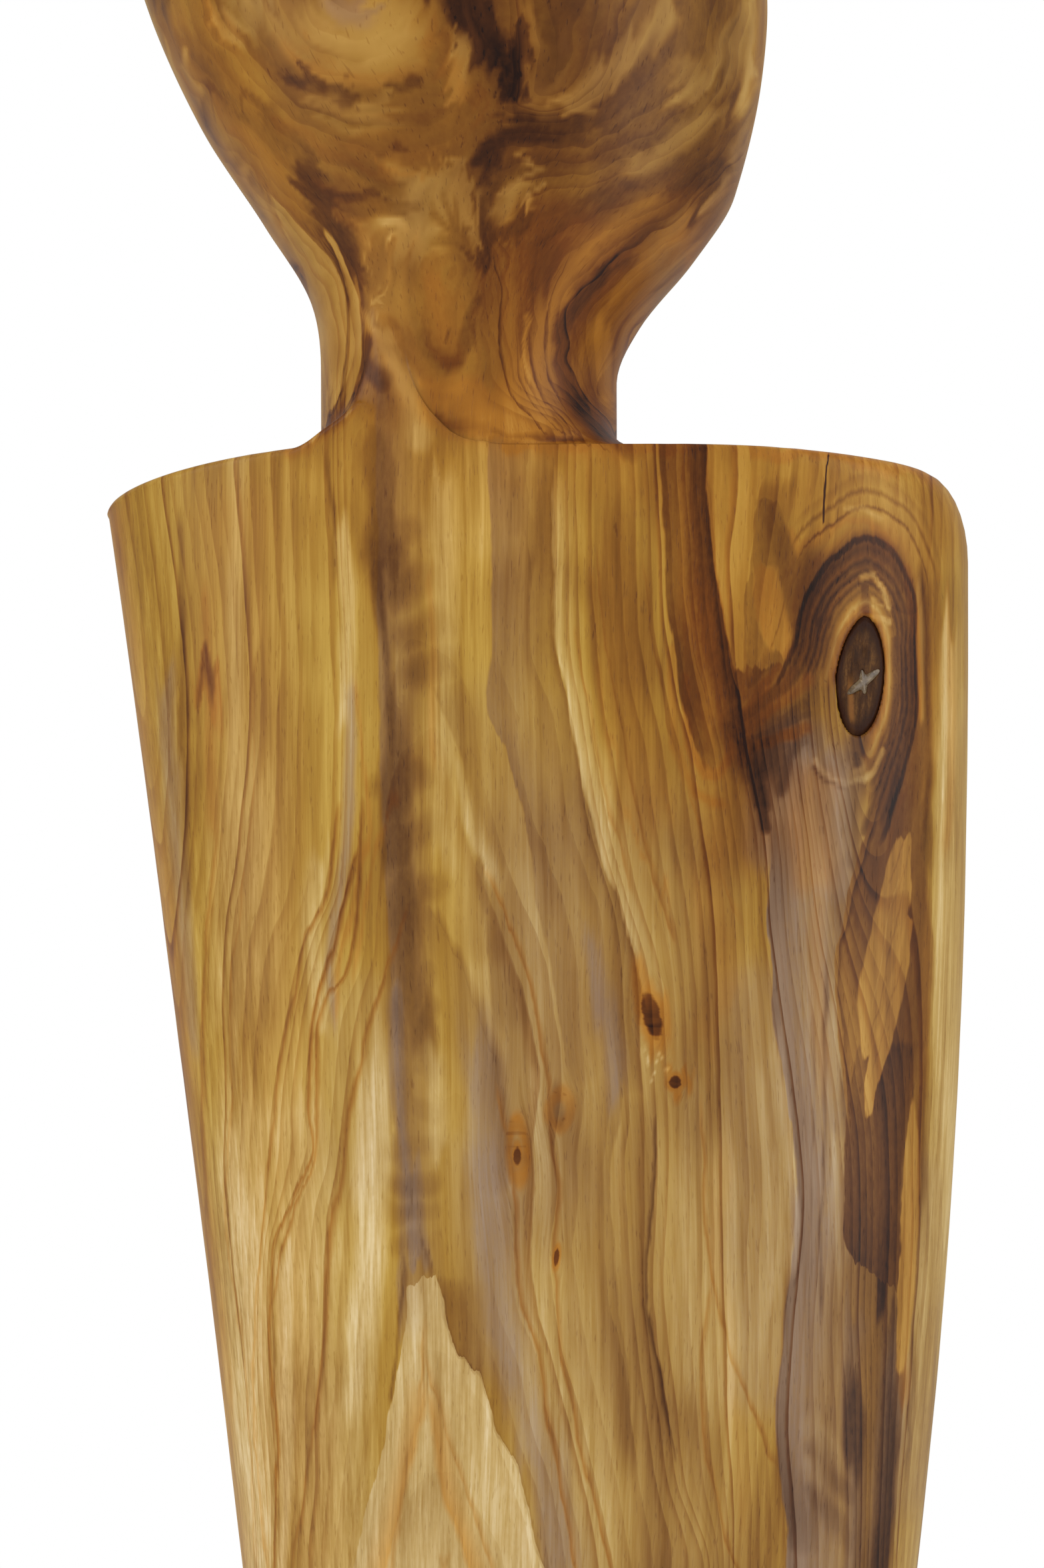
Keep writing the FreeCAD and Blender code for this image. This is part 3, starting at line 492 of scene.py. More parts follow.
# Regions of the front: levels of dark, grey, pale and amber, how soft the left and right sides
# and the ends are, then the lines (Z, X) up the two sides
REGIONS = [
    ((0.0, 0.15, 0.85, 0.0), 0.4, 0.4, 0.5, FLAME_LEFT, FLAME_RIGHT),
    # dark band under the big knot, deeper at its foot
    ((0.52, 0.15, 0.05, 0.45), 0.7, 3.4, 5.0,
     [(252, 57.6), (257, 56.9), (268, 56.1), (278, 55.6), (283, 57), (291, 58.6), (300, 61),
      (308, 64), (318, 66.6)],
     [(252, 68.4), (262, 70.5), (280, 71.6), (291, 70.6), (300, 69.4), (308, 69.6), (318, 70.4)]),
    ((0.7, 0.2, 0.0, 0.35), 0.7, 2.6, 4.0,
     [(217, 65), (220, 61), (224, 58), (232, 57.3), (247, 57.9), (258, 59.4)],
     [(217, 66), (224, 66), (235, 66), (250, 68), (258, 68.6)]),
    # orange blades let into it
    ((0.16, 0.0, 0.4, 0.55), 1.0, 0.7, 1.5,
     [(261, 61), (268, 60.4), (276, 61), (284, 62.8), (291, 65), (299, 67.6)],
     [(261, 62.4), (268, 64.6), (276, 67), (284, 68.4), (291, 69.2), (299, 69.4)]),
    ((0.12, 0.0, 0.45, 0.65), 0.8, 0.8, 1.5,
     [(250, 61.4), (256, 61.8), (263, 63.6), (270, 65.6), (277, 67.6), (284, 69)],
     [(250, 62), (256, 63.6), (263, 66), (270, 67.6), (277, 68.8), (284, 69.6)]),
    # tan finger at its right
    ((0.2, 0.0, 0.35, 0.55), 0.6, 1.4, 6.0,
     [(205, 67.6), (212, 67.8), (222, 68.2), (230, 68.4), (240, 69), (246, 69.8)],
     [(205, 68.6), (212, 69.6), (222, 70.2), (230, 70.4), (240, 70.6), (246, 70.4)]),
    # pale strips at the neck's left
    ((0.05, 0.0, 0.4, 0.5), 1.2, 0.8, 6.0,
     [(380, -43.5), (392, -42.6), (402, -42.8), (409, -45), (416, -48)],
     [(380, -40), (386, -37), (394, -36.2), (402, -36.8), (409, -40.6), (416, -47)]),
    ((0.1, 0.0, 0.3, 0.4), 0.5, 0.8, 5.0,
     [(383, -35.9), (394, -35.1), (401, -35.2), (410, -38.4)],
     [(383, -35.5), (394, -33.7), (401, -34), (410, -38)]),
    # golden strip and brown wedge left of the big knot
    ((0.14, 0.0, 0.05, 0.5), 1.0, 0.5, 2.0,
     [(333, 37), (345, 34.4), (360, 33), (374, 31.8)],
     [(333, 38), (338, 38.4), (345, 38), (350, 39.4), (356, 40.2), (362, 39.6), (374, 38.4)]),
    ((0.5, 0.0, 0.0, 0.3), 0.5, 3.0, 1.0,
     [(333, 38.9), (338, 38.6), (345, 38.4), (350, 39.6), (356, 40.3), (363, 41.9)],
     [(333, 50), (338, 49), (345, 48), (350, 47), (356, 44.4), (363, 42.5)]),
    ((0.1, 0.0, 0.1, 0.9), 2.5, 3.0, 2.0,
     [(336, 44.6), (340, 43), (344, 41.8), (347, 41.6), (350, 41.8)],
     [(336, 45), (340, 44.4), (344, 43.4), (347, 42.6), (350, 42)]),
]

# Levels of dark, amber and pale across the eddy round the big knot
EDDY_BANDS = [(1.0, 0.5, 0.9, 0), (1.05, 0.2, 1, 0), (1.12, 0, 0.9, 0.2), (1.18, 0, 0.3, 0.4),
              (1.25, 0.2, 0.5, 0.1), (1.33, 0.5, 0.2, 0), (1.38, 0.35, 0.4, 0),
              (1.45, 0.75, 0.2, 0), (1.51, 0.5, 0.6, 0), (1.58, 0.85, 0.2, 0),
              (1.64, 0.6, 0.4, 0), (1.72, 0.9, 0.2, 0), (1.78, 0.62, 0.6, 0),
              (1.88, 0.85, 0.3, 0), (1.95, 0.75, 0.4, 0), (2.0, 1.1, 0, 0), (2.05, 1, 0, 0),
              (2.09, 0.5, 0.5, 0), (2.18, 0.2, 0.6, 0), (2.3, 0.05, 0.3, 0),
              (2.41, 0, 0.45, 0.05), (2.46, 0.5, 0.4, 0), (2.5, 0.05, 0.5, 0),
              (2.62, 0.05, 0.4, 0.1), (2.68, 0.4, 0.4, 0), (2.74, 0, 0.4, 0),
              (2.86, 0.2, 0.4, 0), (2.92, 0, 0.1, 0), (3.0, 0, 0, 0)]

# Outline of the dark arc round the big knot: (degrees, distance) from the knot's centre
ARC = [(-90, 50), (-86.8, 35.9), (-79, 27.9), (-70.4, 21.8), (-49.6, 15.1), (-16.5, 11.3),
       (32, 12.3), (61.8, 19.9), (75.4, 23.9), (87.5, 25.5), (101, 22.8), (119.9, 18.7),
       (151.6, 13.6), (191, 16.5), (204, 24.6), (225, 40), (270, 50)]


def eddy(x, z, front):
    """Place in the eddy round the big knot, 1 on the knot's rim and 2 on the dark arc round it,
    how strong the eddy is there, and the place in the nearest small knot, 1 on its rim."""
    dx, dz = x - KNOT_X, z - KNOT_Z
    turn = np.degrees(np.arctan2(dz, dx))
    turn = np.where(turn < -90, turn + 360, turn)
    reach = np.hypot(dx, dz) + 0.35 * noise(15, (5, 9, 5), x, 0 * x, z)
    rim = reach / np.maximum(knot_radius(x, z), 0.1)
    place = 1 + (reach - rim) / (through(ARC, turn) - rim)
    low = ease((turn + 90) / 12) * ease((214 - turn + 8 * noise(16, (4, 9, 4), x, 0 * x, z)) / 44)
    strength = front * low * ease((3.4 - place) / 0.9)
    small = np.full_like(x, 4.0)
    for knot_x, knot_z, wide, tall, lean in SMALL_KNOTS:
        across, along = leaning(x - knot_x, z - knot_z, lean)
        small = np.minimum(small, np.hypot(across / wide, along / tall) * 2)
    small = small + (4 - small) * (front < 0.5)
    return np.stack([np.clip(place, 0, 6), strength, np.minimum(small, 4.0)], 1)


# Lines of the grain over the head's front: their rank from the middle of a whorl outwards,
# then (X, Z) along the line. Two whorls lie side by side and run out through the neck.
HEAD_LINES = [
    (2, (-36, 457), (-30, 457)),
    (7, (-46, 457), (-42, 450.5), (-36, 446.5), (-30, 447), (-25, 451), (-22, 457), (-24, 468),
     (-33, 476), (-44, 468)),
    (12, (-53, 458), (-50, 450), (-44, 443.5), (-36, 440), (-28, 440.5), (-21, 445), (-18.5, 452),
     (-18, 460)),
    (17, (-60, 456), (-55, 447.5), (-48, 440.5), (-38, 434.5), (-28, 432.5), (-20, 435),
     (-14, 440), (-12.5, 448), (-13, 475), (-20, 492), (-33, 498), (-48, 492), (-60, 475)),
    (22, (-66, 456), (-61, 446), (-54, 438), (-46, 431), (-37, 426), (-29, 423.5), (-21, 425),
     (-14, 429.5), (-8.5, 434.5), (-7, 441), (-7.5, 449), (-8, 458)),
    (27, (-70, 456), (-65, 444), (-57, 434), (-49, 425.5), (-43, 420), (-37, 414), (-33, 408),
     (-31, 400), (-31, 390), (-33, 383)),
    (33, (-72, 453), (-67, 441), (-59, 430), (-51, 421), (-44, 413), (-39, 407), (-36, 400),
     (-35.3, 392), (-36, 384), (-40, 378), (-74, 470), (-68, 495), (-52, 520), (-35, 532)),
    (40, (-74, 450), (-69, 437), (-61, 426.5), (-54, 418.5), (-47, 410.5), (-42, 403),
     (-40, 395), (-39.5, 387), (-42, 379)),
    (10, (-1, 441), (4, 441.5), (8, 446), (9, 453), (10, 462), (3, 466), (-3, 460)),
    (16, (-4, 437.5), (3, 436), (9, 440), (13, 446), (14, 455)),
    (22, (-6, 434), (1, 433.5), (8, 435), (14, 440), (19, 447), (21, 457), (22, 470), (16, 485),
     (5, 488)),
    (27, (-10, 430), (-4, 431), (3, 429.5), (11, 432), (19, 438), (26, 446), (29, 456)),
    (32, (-11, 420), (-7, 424), (1, 425), (10, 427), (20, 432), (28, 438), (34, 447), (36, 457),
     (-11, 412), (-11, 404), (-10, 396), (-9, 388), (-7, 381), (-3, 377.5)),
    (37, (-9, 412), (-5, 417), (3, 420.5), (13, 423.5), (23, 428.5), (31, 435), (36.5, 444),
     (39, 455), (40, 475), (35, 500), (20, 522), (-6, 408), (-6, 400), (-5.5, 392), (-4, 385),
     (0, 379.5), (5, 376.5)),
    (42, (-2, 409), (4, 414.5), (14, 418.5), (24, 423.5), (32, 430), (38, 439), (41, 450),
     (-2, 403), (-1.5, 395), (-0.5, 388), (2, 382), (7, 377.5)),
    (47, (3, 404), (9, 410), (18, 415), (27, 420.5), (34, 427.5), (40, 437), (46, 480), (40, 508),
     (25, 530), (2, 398), (2.5, 391), (4, 385), (7, 380), (12, 376.5)),
    (53, (6, 399), (12, 405), (20, 411), (28, 416.5), (35, 424), (6, 394), (6.5, 388),
     (8.5, 382)),
    (60, (11, 398), (17, 403.5), (25, 410), (32, 418), (11, 393), (10.5, 387), (12, 381)),
    (28, (-27, 412), (-28, 404), (-28, 396), (-26, 390), (-22, 385.5), (-17, 383.5)),
    (24, (-25, 418), (-12, 520), (-11, 500), (-23, 403), (-21.5, 396), (-19, 390), (-16.5, 387.5),
     (-14, 390), (-12.5, 397), (-12, 405)),
    (19, (-20, 404), (-18.5, 396), (-17, 393), (-15.5, 396), (-14.5, 404)),
    (38, (-15, 545), (2, 535)),
]


def thin_plate(places, values, at):
    """Smooth surface through values at places, read at other places."""
    def pull(a, b):
        square = ((a[:, None] - b[None]) ** 2).sum(-1) + 1e-9
        return 0.5 * square * np.log(square)

    def plane(points):
        return np.column_stack([np.ones(len(points)), points])

    count = len(places)
    system = np.zeros((count + 3, count + 3))
    system[:count, :count] = pull(places, places) + 0.5 * np.eye(count)
    system[:count, count:] = plane(places)
    system[count:, :count] = plane(places).T
    weights = np.linalg.solve(system, np.concatenate([values, np.zeros(3)]))
    return pull(at, places) @ weights[:count] + plane(at) @ weights[count:]


class HeadGrain:
    """Streaks drawn out along the grain of the head's front, on a grid of X and Z."""
    LOW, HIGH, PITCH = np.array([-86.0, 368.0]), np.array([56.0, 562.0]), 0.5
    COARSE = 4
    PACE, FINE_STEPS, BROAD_STEPS = 0.8, 11, 28

    def __init__(self):
        count = np.round((self.HIGH - self.LOW) / self.PITCH).astype(int) + 1
        x, z = np.meshgrid(*(low + self.PITCH * np.arange(n) for low, n in zip(self.LOW, count)),
                           indexing="ij")
        x_sway, z_sway = (side + 1.2 * noise(seed, (9, 9, 9), x, 0 * x, z)
                          + 0.5 * noise(seed + 1, (3, 9, 3), x, 0 * x, z)
                          for side, seed in ((x, 41), (z, 43)))
        coarse = (slice(None, None, self.COARSE),) * 2
        at = np.stack([x[coarse].ravel(), z[coarse].ravel()], 1)
        lines = [(rank, point) for rank, *points in HEAD_LINES for point in points]
        rank = thin_plate(np.array([point for _, point in lines], float),
                          np.array([rank for rank, _ in lines], float), at)
        self.step = self.PITCH * self.COARSE
        self.rank = self.read(rank.reshape(x[coarse].shape), x_sway, z_sway)
        self.step = self.PITCH
        slope_x, slope_z = np.gradient(self.rank, self.PITCH)
        length = np.hypot(slope_x, slope_z) + 1e-6
        along_x, along_z = self.along = -slope_z / length, slope_x / length
        seeds = [noise(45, (0.9, 9, 0.9), x, 0 * x, z), noise(46, (2.6, 9, 2.6), x, 0 * x, z)]
        sums = [seed.copy() for seed in seeds]
        for way in (self.PACE, -self.PACE):
            walk_x, walk_z = x.copy(), z.copy()
            for count in range(self.BROAD_STEPS):
                turn_x = self.read(along_x, walk_x, walk_z)
                turn_z = self.read(along_z, walk_x, walk_z)
                walk_x, walk_z = walk_x + way * turn_x, walk_z + way * turn_z
                for k in range(2):
                    if k or count < self.FINE_STEPS:
                        sums[k] += self.read(seeds[k], walk_x, walk_z)
        self.fine, self.broad = ((total - total.mean()) / total.std() for total in sums)

    def read(self, grid, x, z):
        """Values of a grid at any places."""
        column = np.clip((x - self.LOW[0]) / self.step, 0, grid.shape[0] - 1.001)
        row = np.clip((z - self.LOW[1]) / self.step, 0, grid.shape[1] - 1.001)
        i, j = column.astype(int), row.astype(int)
        u, v = column - i, row - j
        return ((grid[i, j] * (1 - v) + grid[i, j + 1] * v) * (1 - u)
                + (grid[i + 1, j] * (1 - v) + grid[i + 1, j + 1] * v) * u)

    def swirl(self, x, z, front):
        """Fine and broad streaks near 0.5, how far they count, and the grain's rank."""
        share = front * ease((z - 375 - 7 * ease((-22 - x) / 12)) / 12)
        fine = 0.5 + 0.14 * self.read(self.fine, x, z)
        broad = 0.5 + 0.12 * self.read(self.broad, x, z)
        return np.stack([fine, broad, share], 1), self.read(self.rank, x, z)

    def carry(self, x, z, front):
        """How far the fibres of the head carry a stain along, in X and Z."""
        share = front * ease((z - 385) / 12) * (1.6 * self.read(self.fine, x, z)
                                                + 1.4 * self.read(self.broad, x, z))
        return np.stack([share * self.read(way, x, z) for way in self.along])


def pith_depth(z):
    """How far the pith lies behind the torso's front: the rings arch where it comes near."""
    return 20.0 + 20.0 * (z - PLINTH_TOP) / TORSO_HEIGHT


def between(x, z, curves, targets):
    """Each X moved so that curves (lists of (Z, X)) land on their targets, evenly in between."""
    places = [through(curve, z) for curve in curves]
    total = targets[0] + np.minimum(x - places[0], 0.0)
    for k in range(len(curves) - 1):
        share = np.clip((x - places[k]) / np.maximum(places[k + 1] - places[k], 0.5), 0.0, 1.0)
        total = total + share * (targets[k + 1] - targets[k])
    return total + np.maximum(x - places[-1], 0.0)


def grain_course(x, y, z, front, whorl, rank):
    """Fibre place across and along the grain, and ring distance, at points of the skin.
    Where whorl is 1 the rings follow the rank of the head's lines."""
    above = ease((z - 372) / 14)
    wave = 1.6 * noise(11, (30, 40, 70), x, y, z) + 0.5 * noise(12, (9, 20, 24), x, y, z)
    across = x + wave
    spread = between(x, z, [fibre[1:] for fibre in FIBRES], [fibre[0] for fibre in FIBRES])
    across = across + (spread - x) * above * (0.35 + 0.65 * front)
    along = z + 0.0
    for knot_x, knot_z, radius, length in KNOTS:
        dx, dz = x - knot_x, (z - knot_z) / length
        push = front * radius ** 2 / np.maximum(dx ** 2 + dz ** 2, (0.8 * radius) ** 2)
        push = push * (1 - ease(np.hypot(dx, dz) / radius / 5 - 0.4))
        across = across - dx * np.minimum(push, 1.0)
        along = along + (z - knot_z) * np.minimum(push, 1.0)

    # rings: the front follows its lines, the back is a plain cut through the same trunk
    depth = pith_depth(z)
    span = [np.sqrt(np.maximum(ring[0] ** 2 - depth ** 2, 4.0)) / 0.8
            for ring in RINGS_LEFT + RINGS_RIGHT]
    targets = [PITH_X - reach for reach in span[:len(RINGS_LEFT)]]
    targets += [PITH_X + reach for reach in span[len(RINGS_LEFT):]]
    curves = [ring[1:] for ring in RINGS_LEFT + RINGS_RIGHT]
    placed = between(x + 0.4 * wave, z, curves, targets)
    free = np.maximum(ease((z - 378) / 22), 1 - front)
    placed = placed + (across * 0.9 - placed) * free
    behind = depth - (1 - front) * 14.0 + 0.25 * (y + 40)
    ring = np.hypot(0.8 * (placed - PITH_X), behind)
    ring = ring + 1.0 * noise(13, (22, 30, 55), x, y, z) + 0.3 * noise(14, (6, 12, 16), x, y, z)
    ring = ring + (rank * 0.5 + 27 - ring) * whorl
    dx, dz = x - KNOT_X, z - KNOT_Z
    tail = np.where(dz > 0, 19.0, 46.0)
    side = np.where(dx > 0, 9.0, 14.0)
    ring = ring + 18.0 * front * np.exp(-(dx / side) ** 2 - (dz / tail) ** 2)
    return across, along, ring


# ---- Stains of the wood, and some painted highlight and shade -----------------------------

STAIN_AND_LIGHT_KINDS = ("dark", "grey", "pale", "amber")


class Paint:
    """Stains on the skin, and some painted highlight and shade: levels of dark, grey, pale and
    amber at every point of the front.
    """

    def __init__(self, x, z, front, carried):
        x, z = x + carried[0], z + carried[1]

        def sway(seed, *cells):
            return noise(seed, cells, x, 0 * x, z)

        head = ease((z - 376) / 10)
        self.x = x + 0.5 * sway(21, 7, 9, 14) + 0.3 * sway(22, 2, 9, 6) + head * sway(28, 6, 9, 6)
        self.z = z + 1.2 * sway(23, 5, 9, 9) + 0.5 * sway(24, 1.6, 9, 6) + head * sway(30, 6, 9, 6)
        # fibres carry an upright stain further than their neighbours do
        self.ragged_x = self.x + 0.9 * sway(25, 2.4, 9, 11)
        self.ragged_z = self.z + 5.0 * sway(26, 1.4, 9, 26) + 3.0 * sway(27, 0.9, 9, 15)
        self.front = front
        self.levels = {kind: np.zeros_like(x) for kind in STAIN_AND_LIGHT_KINDS}

    def add(self, kind, value, chosen, profile):
        """Raise a stain's level to value where the profile is 1, and less where it is less."""
        level = ease(profile) * value * (self.front[chosen] > 0.02)
        self.levels[kind][chosen] = np.maximum(self.levels[kind][chosen], level)

    def streak(self, kind, value, left, right, *points, ends=8.0):
        """Along an upright line (X, Z) from its top down: it fades over so far on both sides."""
        top, bottom = points[0][1], points[-1][1]
        chosen = (self.ragged_z < top + ends) & (self.ragged_z > bottom - ends)
        x, z = self.x[chosen], self.ragged_z[chosen]
        offset = x - through([(place, side) for side, place in reversed(points)], z)
        profile = np.where(offset < 0, 1 + offset / left, 1 - offset / right)
        profile = profile * ease((top - z) / ends + 0.5) * ease((z - bottom) / ends + 0.5)
        self.add(kind, value, chosen, profile)

    def brush(self, kind, value, width, *points, soft):
        """Along any line: full to half its width, then gone over a soft rim."""
        self.add(kind, value, *self.near(width, points, soft))

    def balance(self, kind, value, width, *points, soft):
        """Adds to a stain's level along a line; a value below zero takes away."""
        chosen, profile = self.near(width, points, soft)
        level = self.levels[kind][chosen] + ease(profile) * value * (self.front[chosen] > 0.02)
        self.levels[kind][chosen] = np.maximum(level, 0)

    def near(self, width, points, soft):
        """The points of the skin near a line, and how near each is, from 1 down. The full core
        is narrower than the width, and the rim takes up what it loses."""
        line = np.array(points, float)
        width, soft = width * 0.7, soft * 1.5 + 0.15 * width
        reach = width / 2 + soft
        low, high = line.min(0) - reach, line.max(0) + reach
        chosen = ((self.x > low[0]) & (self.x < high[0]) & (self.z > low[1])
                  & (self.z < high[1]))
        x, z = self.x[chosen], self.z[chosen]
        nearest = np.full_like(x, 1e9)
        for (x0, z0), (x1, z1) in zip(line[:-1], line[1:]):
            share = np.clip(((x - x0) * (x1 - x0) + (z - z0) * (z1 - z0))
                            / ((x1 - x0) ** 2 + (z1 - z0) ** 2), 0, 1)
            nearest = np.minimum(nearest, np.hypot(x - x0 - share * (x1 - x0),
                                                   z - z0 - share * (z1 - z0)))
        return chosen, 1 - (nearest - width / 2) / soft

    def spot(self, kind, value, x, z, wide, tall, tilt=0.0, *, soft, hollow=0.0):
        """An oval of so wide and tall; hollow leaves its middle out. Tilt leans its top to +X."""
        reach = (max(wide, tall) / 2 + soft) * 1.5
        spot_x, spot_z = (self.x, self.z) if hollow else (self.ragged_x, self.ragged_z)
        chosen = (np.abs(spot_x - x) < reach) & (np.abs(spot_z - z) < reach)
        across, along = leaning(spot_x[chosen] - x, spot_z[chosen] - z, math.radians(tilt))
        share = np.hypot(across / wide, along / tall) * 2
        scale = min(wide, tall) / 2
        profile = 1 - (share - 1) * scale / soft
        if hollow:
            profile = np.minimum(profile, 1 - (hollow - share) * scale / soft)
        self.add(kind, value, chosen, profile)


def paint_washes(paint):
    """Broad faint tones under everything else."""
    streak, brush = paint.streak, paint.brush
    brush("dark", 0.36, 90, (-20, 560), (-18, 470), (-16, 430), soft=30)
    brush("amber", 0.4, 60, (-20, 450), (-16, 400), soft=30)
    brush("dark", 0.42, 20, (8, 414), (5, 397), soft=9)
    brush("dark", 0.62, 22, (26, 450), (22, 436), soft=10)
    brush("amber", 0.6, 18, (-27, 404), (-27, 388), soft=8)
    brush("dark", 0.44, 16, (-27, 404), (-27, 388), soft=8)
    brush("amber", 0.95, 16, (0, 408), (2, 384), soft=8)
    brush("amber", 0.45, 10, (-4, 372), (40, 370), (72, 362), soft=8)
    streak("amber", 0.5, 12, 18, (26, 374), (30, 350), (34, 320), ends=20)
    streak("dark", 0.14, 16, 16, (33, 310), (33, 270), (34, 220), (33, 160), ends=40)
    streak("grey", 0.5, 6, 12, (51, 300), (52, 260), (53, 220), (52, 170), ends=12)
    streak("dark", 0.34, 9, 14, (66, 320), (66, 270), (65, 220), (63, 160), (58, 60), ends=30)
    streak("pale", 0.35, 14, 18, (-44, 250), (-42, 220), (-40, 170), (-36, 80), ends=60)
    streak("pale", 0.3, 20, 20, (0, 230), (4, 200), (6, 160), (8, 80), ends=50)


def paint_torso(paint):
    """Streaks up the torso from the left edge to the right one."""
    streak, brush, spot = paint.streak, paint.brush, paint.spot
    # left: golden bands between thin brown lines
    streak("amber", 0.8, 2.5, 6, (-82, 366), (-74, 300), (-66, 230), (-59, 170), (-50, 60))
    streak("pale", 0.35, 3, 3, (-57, 372), (-57, 320), (-57.5, 260), (-58.5, 240))
    streak("amber", 0.5, 2, 2, (-62.5, 345), (-62, 320), (-61.5, 300))
    streak("dark", 0.34, 0.8, 1.6, (-67.6, 364), (-67.2, 340), (-67, 310), (-66.4, 285))
    streak("grey", 0.5, 3, 2.5, (-70, 332), (-69, 310), (-67.6, 285), (-66, 262))
    spot("amber", 1.0, -62.4, 328, 2.6, 6, 16, soft=1.4)
    spot("dark", 0.5, -62.6, 328.6, 1.0, 4.5, 16, soft=1.0)
    streak("dark", 0.3, 1.5, 2.5, (-52, 372), (-51, 340), (-50, 310))
    streak("pale", 0.6, 2.5, 3, (-36.5, 362), (-35.5, 345), (-36, 330), (-37, 318))
    streak("dark", 0.55, 0.8, 0.8, (-40, 376), (-38.4, 362), (-37.5, 350))
    streak("grey", 0.6, 2, 1.5, (-35, 330), (-36, 300), (-38.5, 280), (-38.5, 268))
    streak("amber", 0.7, 0.9, 0.9, (-34.2, 330), (-32.6, 318), (-31.6, 306), (-34.6, 292),
           (-37.2, 278), (-38, 270))
    streak("amber", 0.6, 1, 1, (-26, 313), (-30, 300), (-33, 288), (-34, 276))
    streak("pale", 0.5, 4, 4, (-41, 300), (-42, 285), (-41, 262))
    streak("pale", 1.0, 6, 5, (-30, 262), (-30.6, 245), (-31.4, 228), (-33, 205),
           (-35, 190), ends=34)
    streak("pale", 0.85, 9, 9, (-57, 250), (-56.4, 235), (-56, 215), (-55, 200),
           (-53, 150), ends=44)
    streak("pale", 0.35, 12, 12, (-56, 320), (-56, 290), (-57, 260), ends=30)
    streak("pale", 0.8, 3.5, 3, (-47.6, 225), (-47.5, 195), (-47, 178), (-49, 165), (-50, 120))
    # dark smoky streak with a crisp left side
    streak("dark", 0.5, 1.6, 1.6, (-29.5, 352), (-28.6, 330), (-26.8, 313), (-26, 300))
    for x, z, wide, tall in ((-30, 367, 3.4, 11), (-29, 354, 3.4, 9), (-26.8, 314, 2.8, 11),
                             (-26, 298, 2.6, 7), (-25, 284, 2.2, 8), (-24.7, 273, 2.2, 7),
                             (-22, 262, 2.4, 7), (-26.5, 256, 2, 9)):
        spot("dark", 0.46, x, z, wide * 1.2, tall * 1.3, soft=3.0)
    streak("grey", 0.8, 2, 2.5, (-26.5, 270), (-26, 250), (-25, 240), (-24.5, 232))
    streak("grey", 0.9, 3.5, 4, (-24.5, 241), (-24, 230), (-23, 219), ends=5)
    streak("dark", 0.5, 1.2, 1.2, (-22.5, 226), (-21, 221), (-20.3, 217.5), ends=4)
    streak("dark", 0.45, 0.8, 1.6, (-25.6, 219), (-26.2, 209), (-27.6, 200), ends=5)
    # bars of curly figure across it
    for z, wide in ((276, 6), (270, 7), (262.6, 5), (257.6, 7), (249.6, 6), (243.6, 8), (237, 6),
                    (231.4, 7), (225.4, 5)):
        brush("dark", 0.26, 1.6, (-23.4 - wide / 2, z - 0.8), (-23.6, z),
              (-23.2 + wide / 2, z - 0.6), soft=2.2)
    for x, z, wide in ((-27, 357, 6), (-24.5, 347, 6), (-22, 339, 5), (-20.5, 332, 4),
                       (-26, 311, 6), (-23.6, 301, 5), (-22.6, 290, 6)):
        brush("dark", 0.3, 2.4, (x - wide / 2, z - 1), (x, z), (x + wide / 2, z + 1), soft=2.8)
    # cream field right of it
    streak("pale", 0.45, 6, 6, (-19, 366), (-18, 340), (-17.5, 315), (-17.5, 296), ends=14)
    streak("amber", 0.5, 1.5, 1.5, (-21, 350), (-20, 330), (-19.5, 312))
    streak("pale", 0.65, 1.2, 4, (-15.5, 318), (-13.5, 306), (-11.5, 298), (-9, 290))
    streak("pale", 0.5, 3, 4, (-20, 262), (-19.5, 250), (-19, 240))
    # grey-brown streak between two lines
    spot("dark", 0.5, -4.5, 364, 3.0, 12, soft=2)
    spot("dark", 0.4, -1.5, 358, 2.4, 10, soft=2)
    spot("dark", 0.4, -10, 292, 1.8, 9, soft=1.6)
    streak("amber", 0.4, 8, 8, (14, 366), (15, 340), (18, 315), (22, 300), ends=16)
    streak("dark", 0.16, 9, 8, (14, 366), (15, 340), (18, 315), (22, 300), ends=20)
    streak("amber", 0.55, 0.9, 0.9, (9.5, 352), (11, 335), (14, 318), (18.5, 300), (24, 286))
    streak("amber", 0.4, 1, 1, (15.5, 350), (17, 330), (20, 312), (25, 298))
    # brown band and yellow point below the neck's right side
    brush("amber", 0.8, 1.0, (27.2, 330), (28.2, 318), (31.3, 312.6), (33.4, 312), (35.6, 314.6),
          (36.4, 319), soft=0.8)
    brush("amber", 0.6, 0.7, (24.2, 335), (25.2, 318), (29.2, 308), (33.8, 306), soft=0.8)
    # right of the middle: quiet golden field
    streak("amber", 0.35, 6, 5, (31, 300), (32, 286), (34, 270), (31, 262), ends=14)
    streak("pale", 0.4, 5, 6, (29, 255), (28, 235), (27, 215), (28, 195), ends=14)
    streak("pale", 0.4, 4, 2, (41.5, 260), (43.5, 240), (43.5, 220), (41, 200), ends=14)
    streak("amber", 0.2, 2.5, 3, (34, 245), (33, 225), (35, 205), (37, 185), (38, 172), ends=12)
    streak("pale", 0.34, 12, 8, (34, 250), (34, 225), (35, 190), ends=30)
    streak("grey", 0.55, 3, 3, (9.5, 285), (11.5, 270), (14, 258), (14, 247))
    streak("pale", 0.5, 1.5, 2.5, (-1, 256), (0, 240), (0.5, 225), (1.2, 208), (4, 192))
    streak("grey", 0.5, 4, 8, (-12, 264), (-11, 250), (-10.5, 236), (-9, 220), (-7, 206),
           (-3, 192), (1, 176), (4, 160), ends=16)
    # flame of pale wood
    spot("dark", 0.42, -11.2, 202, 2.2, 7, -24, soft=2)
    spot("dark", 0.34, -13, 228, 2.0, 12, soft=2.4)
